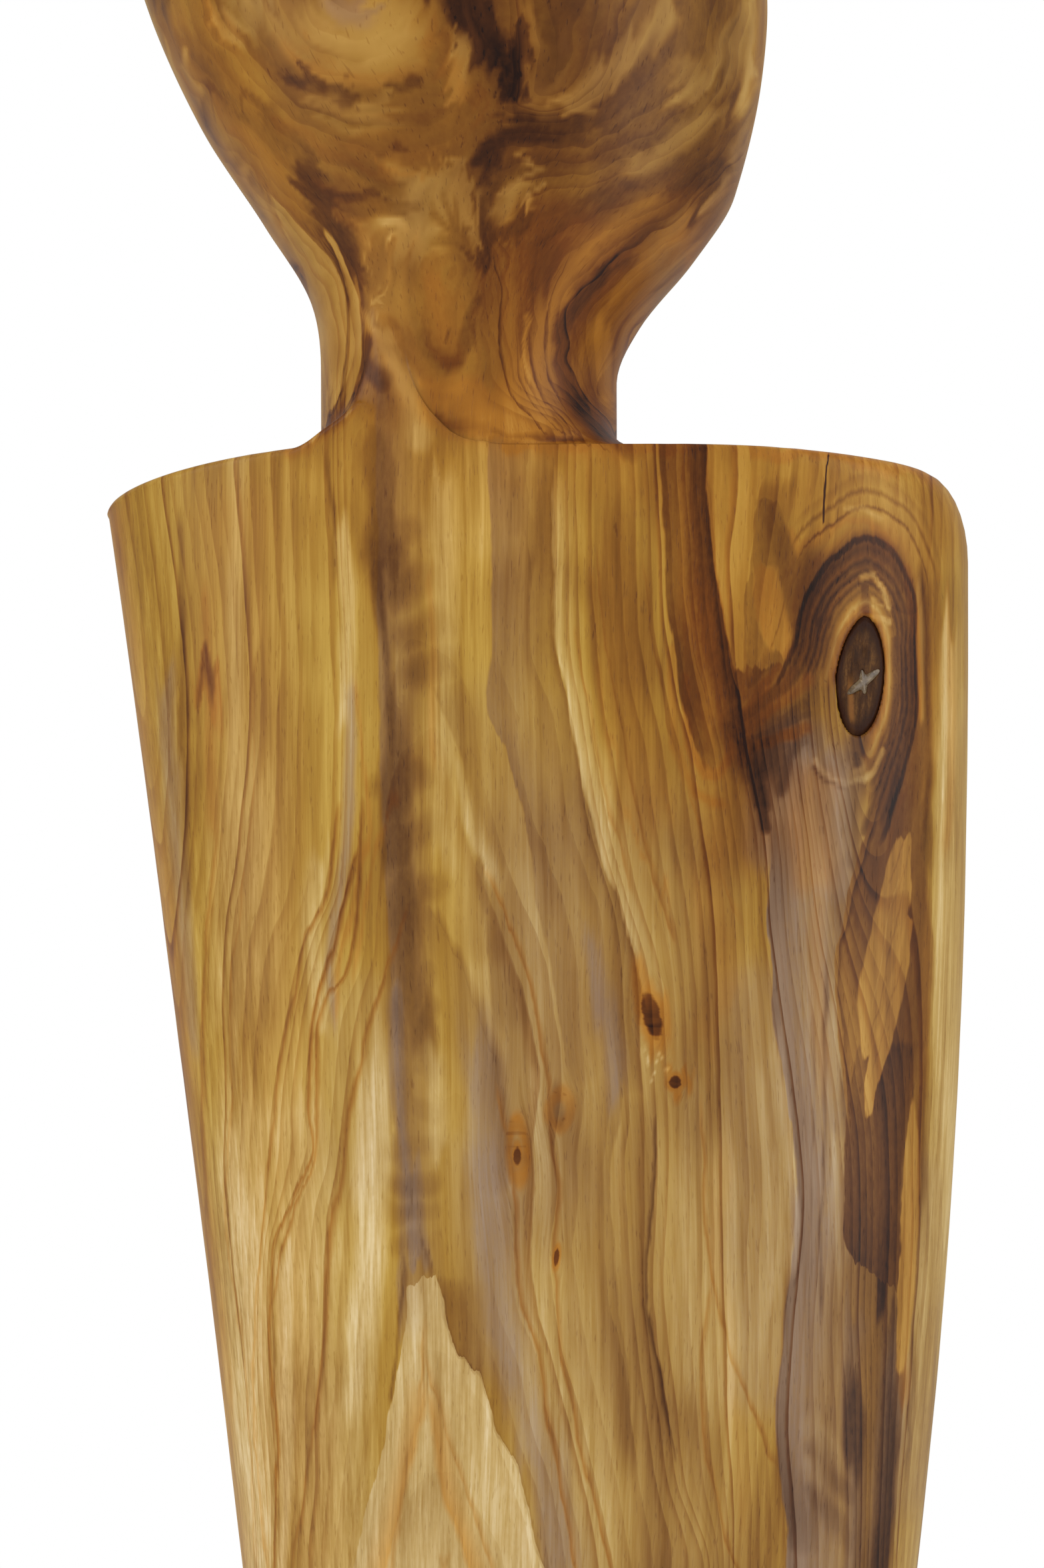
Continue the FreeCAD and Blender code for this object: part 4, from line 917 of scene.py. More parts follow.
    # small knots
    spot("amber", 0.9, 20.8, 267.2, 5.0, 11.5, -14, soft=1.4)
    spot("amber", 0.9, 25.2, 255, 4.2, 5.0, soft=1.4)
    streak("pale", 0.8, 1.2, 1.2, (19.6, 259), (21.5, 256.8), (23.6, 255.4), ends=1.5)
    spot("amber", 0.95, -4.3, 242.8, 4.0, 12.5, soft=0.8, hollow=0.7)
    spot("amber", 0.7, 4.1, 250.2, 5.0, 8.0, 10, soft=0.9, hollow=0.62)
    spot("dark", 0.35, 4.0, 250.0, 1.6, 2.8, soft=1.4)
    # lilac band, dark wood with a painted sheen on it, and pinkish strips under the big knot
    streak("pale", 0.6, 5, 0.8, (45.4, 264), (46.2, 252), (47.6, 240), (48, 230), (46.6, 218),
           ends=12)
    streak("dark", 0.4, 0.8, 1.6, (44.4, 264), (46.2, 254), (47.2, 247), (48.5, 236),
           (48.4, 225), (47, 217))
    streak("dark", 0.5, 0.8, 0.8, (53.6, 276), (53.4, 262), (53.4, 245), (52.6, 228), (53, 205),
           ends=14)
    streak("dark", 0.35, 0.6, 0.6, (51.4, 270), (51, 250), (50.6, 230), (50.4, 205), ends=14)
    streak("pale", 0.45, 1.6, 1.6, (54.8, 278), (55.4, 262), (56, 247), (55.8, 230), (57, 214),
           ends=12)
    streak("amber", 0.3, 2, 2.5, (52.6, 300), (51.6, 285), (52, 268), (53.6, 250), ends=14)
    streak("grey", 0.7, 2, 2.6, (47.6, 240), (48, 225), (47.4, 212), (47, 196), ends=14)
    # dark band, warmer towards the edge
    streak("dark", 0.8, 2, 1.6, (67.6, 262), (67.4, 248), (66.8, 234), (66.2, 220), ends=12)
    streak("dark", 0.55, 4, 4, (67, 212), (66.4, 198), (66, 180), (65, 160), (60, 100), ends=12)
    streak("dark", 0.5, 1.6, 1.6, (69, 290), (70, 270), (70.6, 250), ends=14)
    streak("dark", 0.5, 1.2, 1.4, (72.6, 262), (72.4, 245), (72, 228), (71, 205), (69.4, 180),
           ends=14)
    spot("dark", 0.8, 64.5, 215.0, 2.0, 9.5, soft=1.2)
    spot("dark", 0.6, 59.4, 192, 2.6, 14, soft=2.0)
    spot("dark", 0.5, 60.4, 251.6, 3.6, 3.2, soft=2.0)
    streak("grey", 0.6, 4, 4, (59, 214), (58, 200), (58.4, 180), (58.5, 164), (55, 120), ends=8)
    # light wood let into the dark band: orange blades, a tan finger, chevrons at its foot
    streak("pale", 0.75, 1.6, 1.3, (70.4, 240), (70.2, 230), (69.8, 214), (69, 190), (67.4, 165),
           ends=5)
    streak("amber", 0.6, 1.7, 1.5, (70.4, 242), (70.2, 230), (69.6, 212), (68.4, 190), ends=5)
    for kind, value, drop in (("pale", 0.28, 0), ("dark", 0.21, 4), ("pale", 0.245, 8),
                              ("dark", 0.21, 13)):
        brush(kind, value, 1.6, (51, 191 - drop), (55, 184.6 - drop), (58.6, 180.6 - drop),
              (62, 187 - drop), (65.6, 195 - drop), soft=1.8)
    streak("dark", 0.5, 5, 5, (70.6, 262), (71, 240), (70.6, 222), (67, 200), (65.6, 180),
           (63, 150), ends=30)
    streak("grey", 0.6, 5, 5, (66.6, 205), (65.6, 185), (63, 160), ends=30)
    # right edge
    streak("pale", 0.6, 4, 9, (76.5, 330), (76, 290), (75, 250), (72.5, 215), (69.5, 180),
           (66, 150), (60, 110), ends=20)
    streak("amber", 0.6, 1.4, 1.4, (73, 282), (72.4, 262), (71.2, 240), (69.5, 220))
    streak("amber", 0.5, 2, 2, (77.5, 345), (78, 322), (77, 300))


def paint_knot(paint):
    """Rings and sweeps round the big knot."""
    streak, brush = paint.streak, paint.brush
    # dark ground where the flows meet, left of and below the knot
    brush("dark", 0.5, 5, (35.5, 338), (36.5, 326), (39.5, 317), soft=4)
    brush("dark", 0.55, 7, (38.5, 326), (42, 321), (41, 316), soft=4)
    brush("dark", 0.5, 7, (42, 330), (46, 336), (49, 342), (51.5, 348), soft=4)
    brush("dark", 0.45, 5, (47, 322), (48, 331), (51, 338), soft=4)
    brush("dark", 0.7, 2.6, (38.6, 318), (40.4, 311.6), soft=1.4)
    brush("dark", 0.7, 1.8, (40, 313), (41.2, 307), soft=1.0)
    brush("dark", 0.7, 1.0, (41, 308), (41.9, 302), soft=0.7)
    brush("dark", 0.3, 4, (43.6, 354), (45.4, 350), (50, 349.4), soft=3)
    for value, width, *points in (
            (0.71, 1.8, (52.5, 341.2), (47, 338.6), (43, 334), (39.6, 330)),
            (0.71, 1.6, (50, 333), (45.6, 329), (41, 326.2), (36.6, 322)),
            (0.64, 1.2, (50.4, 337), (46, 333.6), (42.4, 330)),
            (0.6, 1.4, (49.4, 326), (46, 323.4), (42.6, 319), (41, 313)),
            (0.52, 1.0, (49, 320), (46.4, 316), (45, 310)),
            (0.68, 1.2, (42.4, 362.4), (43.2, 358.4), (44.6, 353.4), (45.4, 350.4)),
            (0.6, 1.2, (34, 331), (35.4, 322), (38, 316))):
        brush("dark", value, width, *points, soft=1.2)
    # sweeps that leave the arc down to the left, dark and orange in turn
    for k in range(9):
        kind, value = (("dark", 0.62), ("amber", 0.95), ("dark", 0.5))[k % 3]
        brush(kind, value, 1.1, (51.6 - 0.3 * k, 340 - 2.6 * k), (46.4 - 0.5 * k, 336 - 2.5 * k),
              (41.6 - 0.5 * k, 329.6 - 1.8 * k), (37.4 + 0.1 * k, 322.6 - 1.2 * k), soft=0.9)
    brush("amber", 0.7, 1.0, (47.6, 340.6), (44.8, 337.4), (43.6, 334), soft=1.2)
    brush("amber", 0.7, 1.2, (47, 331), (44.2, 327.6), (40.6, 323.6), (38.8, 321), soft=1.0)
    brush("amber", 0.7, 1.4, (46.4, 357), (47.6, 353.6), (50.6, 354.4), (54, 357.4), soft=1.2)
    brush("grey", 0.8, 8.0, (44.5, 300), (45, 308), (47, 318), soft=3)
    brush("amber", 0.45, 5.0, (51, 311), (50.4, 303), (50.8, 294), soft=3)
    # pale ring and chipped place round the core
    brush("pale", 0.6, 0.5, (51.7, 316), (54.8, 312), (57.6, 310.8), (60.6, 310.8),
          (62.6, 312.4), (64.2, 316), soft=0.5)
    brush("dark", 0.34, 0.4, (51.6, 314.6), (55, 311), (58, 310), (61, 310), soft=0.5)
    brush("pale", 0.3, 5.0, (55.6, 308), (55, 302), (54.6, 294), soft=3)
    brush("grey", 0.6, 6.0, (54.6, 314), (54, 304), (53.6, 292), soft=3)
    brush("dark", 0.45, 2.6, (59.6, 319), (59.8, 316.6), soft=1.4)
    brush("dark", 0.6, 0.7, (59.2, 315.4), (59.4, 313.6), soft=0.6)
    brush("dark", 0.38, 1.2, (59.4, 309.6), (58.6, 303), (58.2, 296), soft=1.6)
    brush("pale", 0.85, 0.9, (60.4, 348.8), (62.6, 349.4), (64.6, 347.6), (65.6, 344.4),
          soft=0.45)
    brush("pale", 0.85, 1.2, (62.4, 341.8), (65.4, 341.6), soft=0.45)
    brush("pale", 0.7, 0.7, (62.4, 345), (64, 344.2), soft=0.4)
    brush("dark", 0.68, 1.2, (60.8, 348), (61, 345), (60.8, 343), soft=0.7)
    # rings over the top of the eddy
    brush("pale", 0.4, 0.5, (57, 361.6), (60.6, 362), (64.4, 360), soft=0.5)
    brush("amber", 0.8, 0.8, (53.4, 357.4), (57, 359.6), (62, 359.4), (66.4, 355), soft=0.8)
    brush("amber", 0.5, 0.8, (66, 366.4), (69, 364), (71.4, 360), (75, 350), soft=1.2)
    # right limb of the eddy and what lies beside it
    brush("dark", 0.41, 2.6, (68.8, 344), (69, 334), (68.6, 322), (66.8, 312), (64, 303),
          (61.4, 295), soft=1.2)
    brush("dark", 0.68, 0.9, (69.6, 320), (67.4, 310), (64.8, 303), (62.4, 297), (60.6, 290),
          (59, 284), soft=1.2)
    brush("dark", 0.6, 0.8, (67, 338), (67, 328), (66, 318), (63.6, 309), (61, 301), soft=0.9)
    brush("amber", 0.95, 0.7, (69.4, 352), (70.9, 343), (71.1, 330), (70.8, 318), (70.2, 308),
          soft=0.7)
    streak("dark", 0.41, 1.6, 2.0, (72.4, 350), (72.6, 338), (73, 326), (72.8, 310), (71, 296),
           ends=10)
    streak("pale", 0.5, 1, 1.4, (71.9, 345), (71.6, 330), (71.4, 315), ends=8)
    streak("pale", 0.7, 2, 5, (76.4, 342), (76.6, 326), (76, 310))
    streak("amber", 0.4, 1, 1, (75, 355), (75.4, 340), (75, 325), ends=8)


def paint_neck(paint):
    """Lines through the neck and over the ledge under it."""
    streak, brush, spot = paint.streak, paint.brush, paint.spot
    # left: pale strips between dark lines
    streak("pale", 0.5, 1.2, 1.2, (-31.4, 406), (-31.2, 400), (-31, 391), ends=6)
    streak("amber", 0.8, 1.2, 0.8, (-36.6, 407), (-35, 398), (-34.6, 390), (-36, 384))
    brush("dark", 0.8, 2.2, (-33.4, 388), (-31, 385.6), (-28.6, 384.6), soft=1.8)
    # painted shade: this dark brush and the amber one after it lay a thin dark orange line along
    # the ridge where the neck's left side turns away from the torso's front
    brush("dark", 0.55, 1.6, (-33, 385), (-36.4, 381), (-40.6, 377.4), soft=1.8)
    brush("amber", 0.9, 2.4, (-46, 374), (-41, 376.6), (-37.4, 380), (-34, 384), soft=2)
    spot("dark", 0.7, -47, 412.4, 1.4, 3.0, 24, soft=0.9)
    for x, z in ((-44, 409), (-42.6, 408), (-42.6, 406.2), (-41.4, 404.6), (-40.8, 402.6)):
        spot("dark", 0.8, x, z, 0.6, 1.0, soft=0.4)
    # middle: pale wood, brown smudges, the amber bowl
    brush("pale", 0.28, 4.5, (-25, 418), (-26.6, 408), (-28.4, 399), soft=4.5)
    brush("pale", 0.45, 2.6, (-29.4, 393), (-27.4, 388), (-23.4, 382), (-22, 374), soft=2)
    brush("amber", 0.85, 5.5, (-17.8, 400), (-17.5, 394), (-16.8, 391), soft=3)
    brush("dark", 0.55, 1.6, (-22.4, 397), (-20.6, 391.4), (-17.6, 388.6), (-14.6, 390.6),
          (-12.6, 396), (-12, 403), soft=1.6)
    brush("dark", 0.6, 2.0, (-20.6, 391.6), (-17.6, 389.4), (-15, 389.6), soft=1.8)
    brush("amber", 0.5, 2.5, (-15, 404), (-13.6, 412), soft=2)
    # ledge under the neck: orange wood, and a darker foot line whose thin right part is painted
    # shade
    brush("amber", 1.0, 8, (-17, 381), (-11, 381), (-5, 381), (2, 378), soft=4)
    brush("pale", 0.25, 5, (-15, 382), (-9, 381), (-2, 379), soft=3)
    brush("amber", 1.0, 2.6, (-12, 378), (-4, 377), (5, 375.8), (12, 374.8), soft=1.6)
    brush("dark", 0.5, 0.9, (-18, 378), (-14, 377.6), (-9.5, 377.4), soft=1.4)
    # painted shade: a thin dark line where the foot of the cove hides behind the front edge
    brush("dark", 0.7, 0.4, (-9, 376.6), (-2, 375.2), (6, 374.9), (12, 374.6), soft=0.6)
    # right: lines that turn outwards over the ledge
    streak("pale", 0.4, 1.0, 1.0, (-3, 402), (-3, 392), (-1.6, 385), ends=5)
    brush("dark", 0.7, 3.4, (31, 424), (25.8, 418.6), (18.7, 413.6), (13.4, 407.6), (8.4, 401.4),
          (5.6, 395.7), (5, 390), (6, 385.5), (8.8, 380.6), (12, 377), soft=2.6)
    brush("dark", 1.0, 2.0, (12, 405), (8, 400.6), (5.2, 396), (4.4, 391), (5.4, 385.6),
          (8.4, 381), soft=1.6)
    brush("dark", 0.7, 2.0, (16, 409), (11, 402), (8.6, 396), (8.6, 389), (10.4, 382), soft=2)
    brush("grey", 0.4, 5, (27, 411), (18, 402), (13, 394), (13, 384), soft=3)
    brush("pale", 0.35, 1.6, (12, 396), (11.6, 390), (12.6, 384), soft=1.4)
    # painted highlight: an amber line along the crisp front edge at the neck's right, where its
    # rounded rim catches the light
    brush("amber", 1.0, 1.6, (-6, 374.2), (10, 373.6), (40, 373.2), (60, 371.5), (74, 368.5),
          soft=1.2)


def paint_head(paint):
    """Two whorls side by side, and the dark wood between them."""
    brush, spot = paint.brush, paint.spot
    # left whorl: pale middle, dark blades and brown flanks
    brush("pale", 0.36, 8, (-40, 451), (-33, 448), (-27, 450), soft=5)
    brush("pale", 0.3, 3, (-50, 452), (-44, 445.6), (-38, 442.4), (-31, 442.4), (-25, 445),
          soft=2)
    brush("grey", 0.7, 2.4, (-39, 457), (-36.6, 453.6), (-33, 453.8), soft=2)
    brush("amber", 0.7, 1.6, (-51, 449), (-46, 444.6), (-40, 441.6), (-33, 440.8), (-26, 441.8),
          (-21, 445), (-19, 451), soft=1.6)
    brush("amber", 0.55, 0.9, (-47, 449), (-42, 445.4), (-37, 443.6), soft=1.0)
    brush("dark", 0.42, 1.0, (-62, 456), (-57, 451.4), (-52, 446.8), (-48, 444), soft=1.4)
    brush("dark", 0.81, 1.3, (-48.6, 443.4), (-44, 441), (-40.4, 439.4), (-37.8, 437.2), soft=1.5)
    brush("dark", 0.68, 1.5, (-31.2, 438.2), (-28, 438.8), (-25, 440.4), soft=1.4)
    brush("amber", 0.55, 3.0, (-60, 452), (-53, 446), (-46, 440), (-38, 436), soft=2.4)
    brush("dark", 0.36, 7, (-63, 448), (-57, 440), (-50, 433), (-44, 426), soft=5)
    brush("dark", 0.51, 0.8, (-63, 440), (-58, 438), (-52, 436), (-46, 431), soft=1.0)
    brush("dark", 0.42, 1.4, (-64, 446), (-61, 441.6), (-58, 437), soft=1.8)
    brush("amber", 0.5, 1.0, (-70, 446), (-63, 433), (-56, 424.6), (-49, 417), soft=1.4)
    brush("pale", 0.5, 2.2, (-72, 448), (-65, 434), (-57, 422.6), (-49.6, 413), soft=2.4)
    brush("pale", 0.4, 2.4, (-42, 437), (-38, 434.6), (-33, 435), soft=2.6)
    spot("dark", 0.68, -35.4, 437.4, 0.6, 0.8, soft=0.4)
    # below the whorl
    brush("amber", 0.6, 7, (-32, 431), (-24, 430), (-18, 432), soft=5)
    brush("amber", 0.7, 1.0, (-48, 433), (-40.2, 428.2), (-34.3, 425.2), (-29, 423), (-22, 423),
          soft=1.2)
    spot("dark", 0.5, -25.8, 425, 1.8, 4.0, -12, soft=1.8)
    brush("dark", 0.64, 0.9, (-41, 420.4), (-36, 419.6), (-30.6, 420.2), soft=0.9)
    brush("dark", 0.55, 2.2, (-50, 434), (-46, 429), (-43, 424.4), soft=2.4)
    brush("dark", 0.75, 2.0, (-44.4, 426.6), (-41.4, 420), (-38.6, 415.6), (-36, 410),
          (-35, 404), soft=2.6)
    brush("dark", 0.5, 2.6, (-40, 415.6), (-36, 413.6), (-32.4, 413.6), soft=2.2)
    brush("amber", 0.65, 4.4, (-38, 422), (-33, 417.6), (-30, 413), soft=3)
    brush("amber", 0.5, 4, (-55, 431), (-50, 424), (-45, 416), soft=3)
    spot("dark", 0.59, -53.6, 421.4, 3.4, 1.3, 20, soft=1)
    brush("pale", 0.55, 4.4, (-22, 419), (-24, 413), soft=4)
    spot("pale", 0.35, -16.4, 419, 6, 7, soft=3.4)
    brush("amber", 0.5, 0.8, (-20, 423), (-21, 418), (-18, 413.4), soft=1)
    brush("amber", 0.5, 1.0, (-19, 425), (-14, 430), (-9, 435), (-5, 439), soft=1)
    brush("amber", 0.5, 0.8, (-16, 425), (-12, 429), (-7, 433.4), soft=0.9)
    # dark streak in the middle
    brush("dark", 0.9, 5.0, (-16.4, 460), (-13, 454), (-9, 449), soft=3.4)
    brush("dark", 0.9, 4.4, (-10.4, 451), (-6.6, 446.6), (-5.4, 442), soft=2.6)
    brush("dark", 0.9, 2.4, (-5.6, 444), (-4.6, 440), (-4.4, 437.6), soft=1.8)
    brush("amber", 0.8, 4.4, (-19, 447), (-16, 440), (-12, 436.6), soft=3)
    brush("pale", 0.4, 2.2, (-13.6, 447), (-14.6, 442.6), (-15.8, 438.6), soft=1.8)
    brush("pale", 0.2, 4, (2, 449), (2.4, 441), (1, 436.4), soft=3)
    brush("pale", 0.4, 2, (8, 437), (13, 443), (19, 450), (24, 456), soft=2)
    brush("amber", 0.5, 0.6, (8.6, 450.6), (8, 446.4), (4, 443.4), (-0.6, 443), soft=0.8)
    # dark arc and the curl under it
    brush("dark", 0.7, 2.4, (3, 432.8), (-2, 432.6), (-6, 430.8), (-9.2, 427.8), soft=2.4)
    brush("dark", 0.55, 1.0, (-9.2, 428), (-10.8, 424), (-10.9, 419.6), (-11.2, 414), soft=1.4)
    brush("dark", 0.64, 3.6, (-4, 431), (4, 431.4), (10, 433.6), soft=2.6)
    brush("dark", 0.45, 6, (-7, 427), (0, 426.4), (9, 428), soft=4)
    spot("dark", 0.6, -9.0, 412.6, 4.4, 4.0, soft=2.6)
    brush("dark", 0.59, 2.6, (-7.6, 413), (-4, 415.6), (-1.4, 418.8), soft=2.2)
    brush("pale", 0.55, 0.8, (-4, 419.4), (-1.6, 420.6), (-0.4, 418.4), soft=0.8)
    brush("pale", 0.4, 1.6, (-8.6, 417), (-6.4, 422), (-1, 425.4), soft=1.4)
    # brown diagonals that rise to the right
    for value, width, *points in (
            (0.51, 1.2, (15.1, 420.3), (20.9, 423.4)),
            (0.51, 1.2, (2, 412), (8, 417.6), (15, 422)),
            (0.6, 1.6, (23, 419), (27, 423.4), (31.4, 428.4)),
            (0.64, 0.9, (35.4, 435.6), (36.2, 438), (36.8, 440.2))):
        brush("dark", value, width, *points, soft=1.5)
    brush("dark", 0.42, 9, (14, 408), (22, 414), (29, 421), soft=5)
    brush("grey", 0.5, 4, (30, 412), (36, 420), (40, 430), soft=3)
    brush("pale", 0.4, 3, (26, 440), (33, 443), (37.6, 452), soft=2.6)
    brush("pale", 0.35, 2, (18, 426), (26, 430), (32, 436), soft=2)
    brush("pale", 0.4, 1.0, (40, 456), (40, 444), (37.4, 432), (33, 422), soft=1.4)


def paint_balance(paint):
    """Wide soft shifts of tone over what is painted so far."""
    balance = paint.balance
    # lighter: beside the streak under the neck, and down the left
    balance("dark", -0.06, 12, (-22, 310), (-22, 270), (-21, 232), soft=7)
    balance("pale", 0.05, 12, (-19, 310), (-19, 270), (-19, 232), soft=7)
    balance("dark", -0.14, 10, (-6, 292), (-5, 240), soft=7)
    balance("pale", 0.22, 10, (-6, 290), (-5, 242), soft=7)
    balance("dark", -0.18, 9, (-51, 366), (-52, 300), (-50, 250), soft=5)
    balance("pale", 0.16, 9, (-51, 366), (-52, 300), (-50, 250), soft=6)
    balance("pale", 0.2, 7, (-8, 372), (-8, 357), soft=5)
    balance("pale", 0.14, 8, (42, 300), (42, 278), soft=6)
    balance("pale", 0.12, 6, (51, 236), (51, 188), soft=5)
    balance("pale", 0.2, 14, (-46, 240), (-41, 168), soft=7)
    balance("dark", -0.4, 5, (2, 388), (4.4, 393), (6, 400), (12, 408), (24, 415), soft=4)
    balance("dark", -0.25, 7, (-8, 374), (-8, 356), soft=5)
    balance("dark", -0.2, 10, (-15, 224), (-14, 203), soft=6)
    balance("dark", -0.12, 10, (30, 236), (32, 176), soft=7)
    # darker: round the big knot, the right rim, the streaks right of the middle
    balance("dark", 0.22, 8, (36, 372), (36, 336), soft=5)
    balance("dark", 0.3, 8, (33, 316), (32, 300), soft=6)
    balance("dark", 0.3, 6, (74, 345), (74, 300), soft=4)
    balance("dark", 0.35, 3, (58, 292), (57.4, 278), (58.5, 262), (59, 248), soft=3)
    balance("dark", 0.1, 8, (21, 362), (21, 335), soft=5)
    balance("dark", 0.12, 6, (-12, 310), (-10, 284), soft=4)
    balance("pale", -0.25, 6, (-12, 310), (-10, 284), soft=4)
    balance("pale", -0.3, 8, (60, 346), (60, 341), soft=5)
    balance("dark", 0.2, 10, (-33, 419), (-30, 414), soft=6)
    balance("dark", 0.14, 8, (26, 190), (26, 168), soft=6)
    balance("pale", -0.15, 6, (-33, 266), (-33, 204), soft=5)
    balance("dark", 0.2, 7, (4.6, 345), (5, 322), soft=5)
    balance("dark", 0.16, 7, (-39, 358), (-39, 338), soft=5)
    balance("dark", 0.18, 6, (-61, 310), (-60, 288), soft=5)
    balance("dark", 0.2, 24, (-10, 448), (4, 432), (2, 414), soft=12)
    balance("dark", -0.15, 8, (49, 456), (46, 434), soft=6)
    balance("dark", 0.14, 3, (-26, 352), (-25.4, 300), (-24, 264), soft=3)
    # calmer: the right rim low down, and the brown band left of the big knot
    balance("pale", -0.3, 8, (65, 258), (65, 225), (63, 162), soft=6)
    balance("dark", 0.08, 8, (65, 225), (63, 162), soft=6)
    balance("pale", -0.2, 7, (30, 372), (31, 342), soft=5)
    balance("dark", 0.08, 7, (30, 372), (31, 342), soft=5)
    # greyer right of the middle
    balance("grey", 0.24, 26, (12, 290), (18, 240), (20, 150), soft=14)
    balance("grey", 0.16, 12, (-4, 320), (-2, 236), soft=8)
    balance("grey", 0.22, 8, (53, 312), (53, 250), soft=6)
    balance("grey", 0.3, 8, (41, 270), (43, 200), soft=5)
    balance("grey", 0.24, 7, (-10, 238), (-8, 206), soft=5)
    balance("grey", 0.15, 8, (-33, 268), (-33, 240), soft=6)
    balance("grey", 0.2, 5, (70, 236), (68, 178), soft=4)
    # warmer: the ledge, the neck's right, both sides of the big knot, the left rim
    balance("amber", 0.5, 7, (-8, 380), (4, 378), (14, 377), soft=4)
    balance("amber", 0.4, 9, (14, 402), (12, 381), soft=5)
    balance("amber", 0.5, 8, (2, 386), (5, 393), (7, 400), (14, 409), (24, 416), soft=5)
    balance("amber", 0.3, 8, (30, 372), (31, 342), soft=5)
    balance("amber", 0.4, 8, (33, 340), (36, 320), (38, 302), soft=6)
    balance("amber", 0.4, 5, (66, 354), (67.5, 336), (66.5, 318), soft=4)
    balance("amber", 0.3, 8, (48, 456), (44, 432), (34, 412), soft=6)
    balance("amber", 0.3, 8, (-66, 450), (-58, 430), (-49, 409), soft=6)
    balance("amber", 0.28, 8, (-56, 358), (-50, 234), (-45, 168), soft=6)


def paint_above_and_below(paint):
    """The parts of the front above the bowl rings and below the flame."""
    streak, brush, spot = paint.streak, paint.brush, paint.spot
    brush("dark", 0.8, 4, (-18, 460), (-23, 468), (-27, 480), (-26, 494), (-22, 508), soft=3)
    brush("dark", 0.5, 6, (-20, 462), (-26, 476), (-27, 492), soft=5)
    for rise in (0, 9, 19, 31):
        brush("amber", 0.7, 1.2, (-62, 458 + rise), (-54, 470 + rise), (-42, 477 + rise),
              (-32, 474 + rise), soft=1.6)
        brush("pale", 0.5, 2.4, (-58, 452 + rise), (-50, 463 + rise), (-40, 469 + rise), soft=3)
        brush("dark", 0.45, 1.4, (6, 462 + rise), (18, 470 + rise), (32, 476 + rise), soft=2.4)
    brush("dark", 0.45, 6, (-70, 462), (-68, 480), (-60, 500), soft=5)
    brush("amber", 0.6, 5, (30, 470), (26, 490), (14, 512), soft=5)
    streak("dark", 0.6, 3, 5, (62, 160), (58, 120), (55, 80), (54, 45), ends=16)
    streak("grey", 0.7, 4, 6, (44, 140), (40, 100), (38, 45), ends=16)
    streak("amber", 0.7, 1, 2, (-2, 150), (2, 110), (4, 60), ends=16)
    streak("dark", 0.5, 1, 2.5, (12, 150), (17, 110), (18, 60), ends=16)
    streak("dark", 0.4, 2, 2, (-37, 140), (-38, 100), (-37, 60), ends=16)
    streak("pale", 0.6, 5, 5, (-30, 130), (-26, 90), (-24, 50), ends=16)
    streak("pale", 0.6, 5, 5, (27, 150), (26, 100), (25, 50), ends=16)
    spot("dark", 0.9, -12, 96, 3.4, 9, 8, soft=1.2)
    spot("amber", 0.9, -12, 96, 7, 16, 8, soft=1.6, hollow=0.6)


def paint_back(paint):
    """Streaks that nobody planned, drawn for the back and sides."""
    draw = np.random.default_rng(7)
    for _ in range(34):
        x, top = draw.uniform(-80, 78), draw.uniform(120, 520)
        length, lean = draw.uniform(40, 150), draw.uniform(-0.06, 0.06)
        kind = draw.choice(STAIN_AND_LIGHT_KINDS, p=[0.3, 0.2, 0.26, 0.24])
        sides = draw.uniform(0.8, 7, 2)
        points = [(x + lean * length * k / 3 + draw.uniform(-1.5, 1.5), top - length * k / 3)
                  for k in range(4)]
        paint.streak(kind, draw.uniform(0.4, 0.9), sides[0], sides[1], *points, ends=18)
    for x, z, wide, tall in ((-34, 300, 6, 12), (26, 214, 4, 8), (12, 402, 3, 6),
                             (-20, 488, 7, 9)):
        paint.spot("amber", 1.0, x, z, wide * 2.1, tall * 2.2, soft=2, hollow=0.55)
        paint.spot("dark", 1.0, x, z, wide, tall, soft=1.2)


def stain_and_light_levels(x, y, z, front, carried):
    """Dark, grey, pale and amber at every point: the front as planned, the back by chance."""
    face = Paint(x, z, front, carried)
    for layer in (paint_washes, paint_torso, paint_knot, paint_neck, paint_head,
                  paint_above_and_below, paint_balance):
        layer(face)
    rear = Paint(x + 0.35 * y, z, np.ones_like(x), (0, 0))
    paint_back(rear)
    share = ease((front - 0.45) / 0.4) * ease((550 - z) / 26)
    return np.stack([face.levels[kind] * share + rear.levels[kind] * (1 - share)
                     for kind in STAIN_AND_LIGHT_KINDS], 1)


# ---- Node materials -----------------------------------------------------------------------

def rgb(red, green, blue):
    """Linear colour with alpha, from screen values of 0 to 255."""
    screen = np.array([red, green, blue]) / 255
    linear = np.where(screen > 0.04045, ((screen + 0.055) / 1.055) ** 2.4, screen / 12.92)
    return (*linear.tolist(), 1.0)


class Socket:
    """A socket that arithmetic works on; each step adds a node."""

    def __init__(self, finish, socket):
        self.finish, self.socket = finish, socket

    def reckon(self, operation, *others):
        inputs = dict(enumerate((self,) + others))
        return self.finish.node("Math", 0, inputs, operation=operation)

    def __add__(self, other):
        return self.reckon("ADD", other)

    def __sub__(self, other):
        return self.reckon("SUBTRACT", other)

    def __mul__(self, other):
        return self.reckon("MULTIPLY", other)


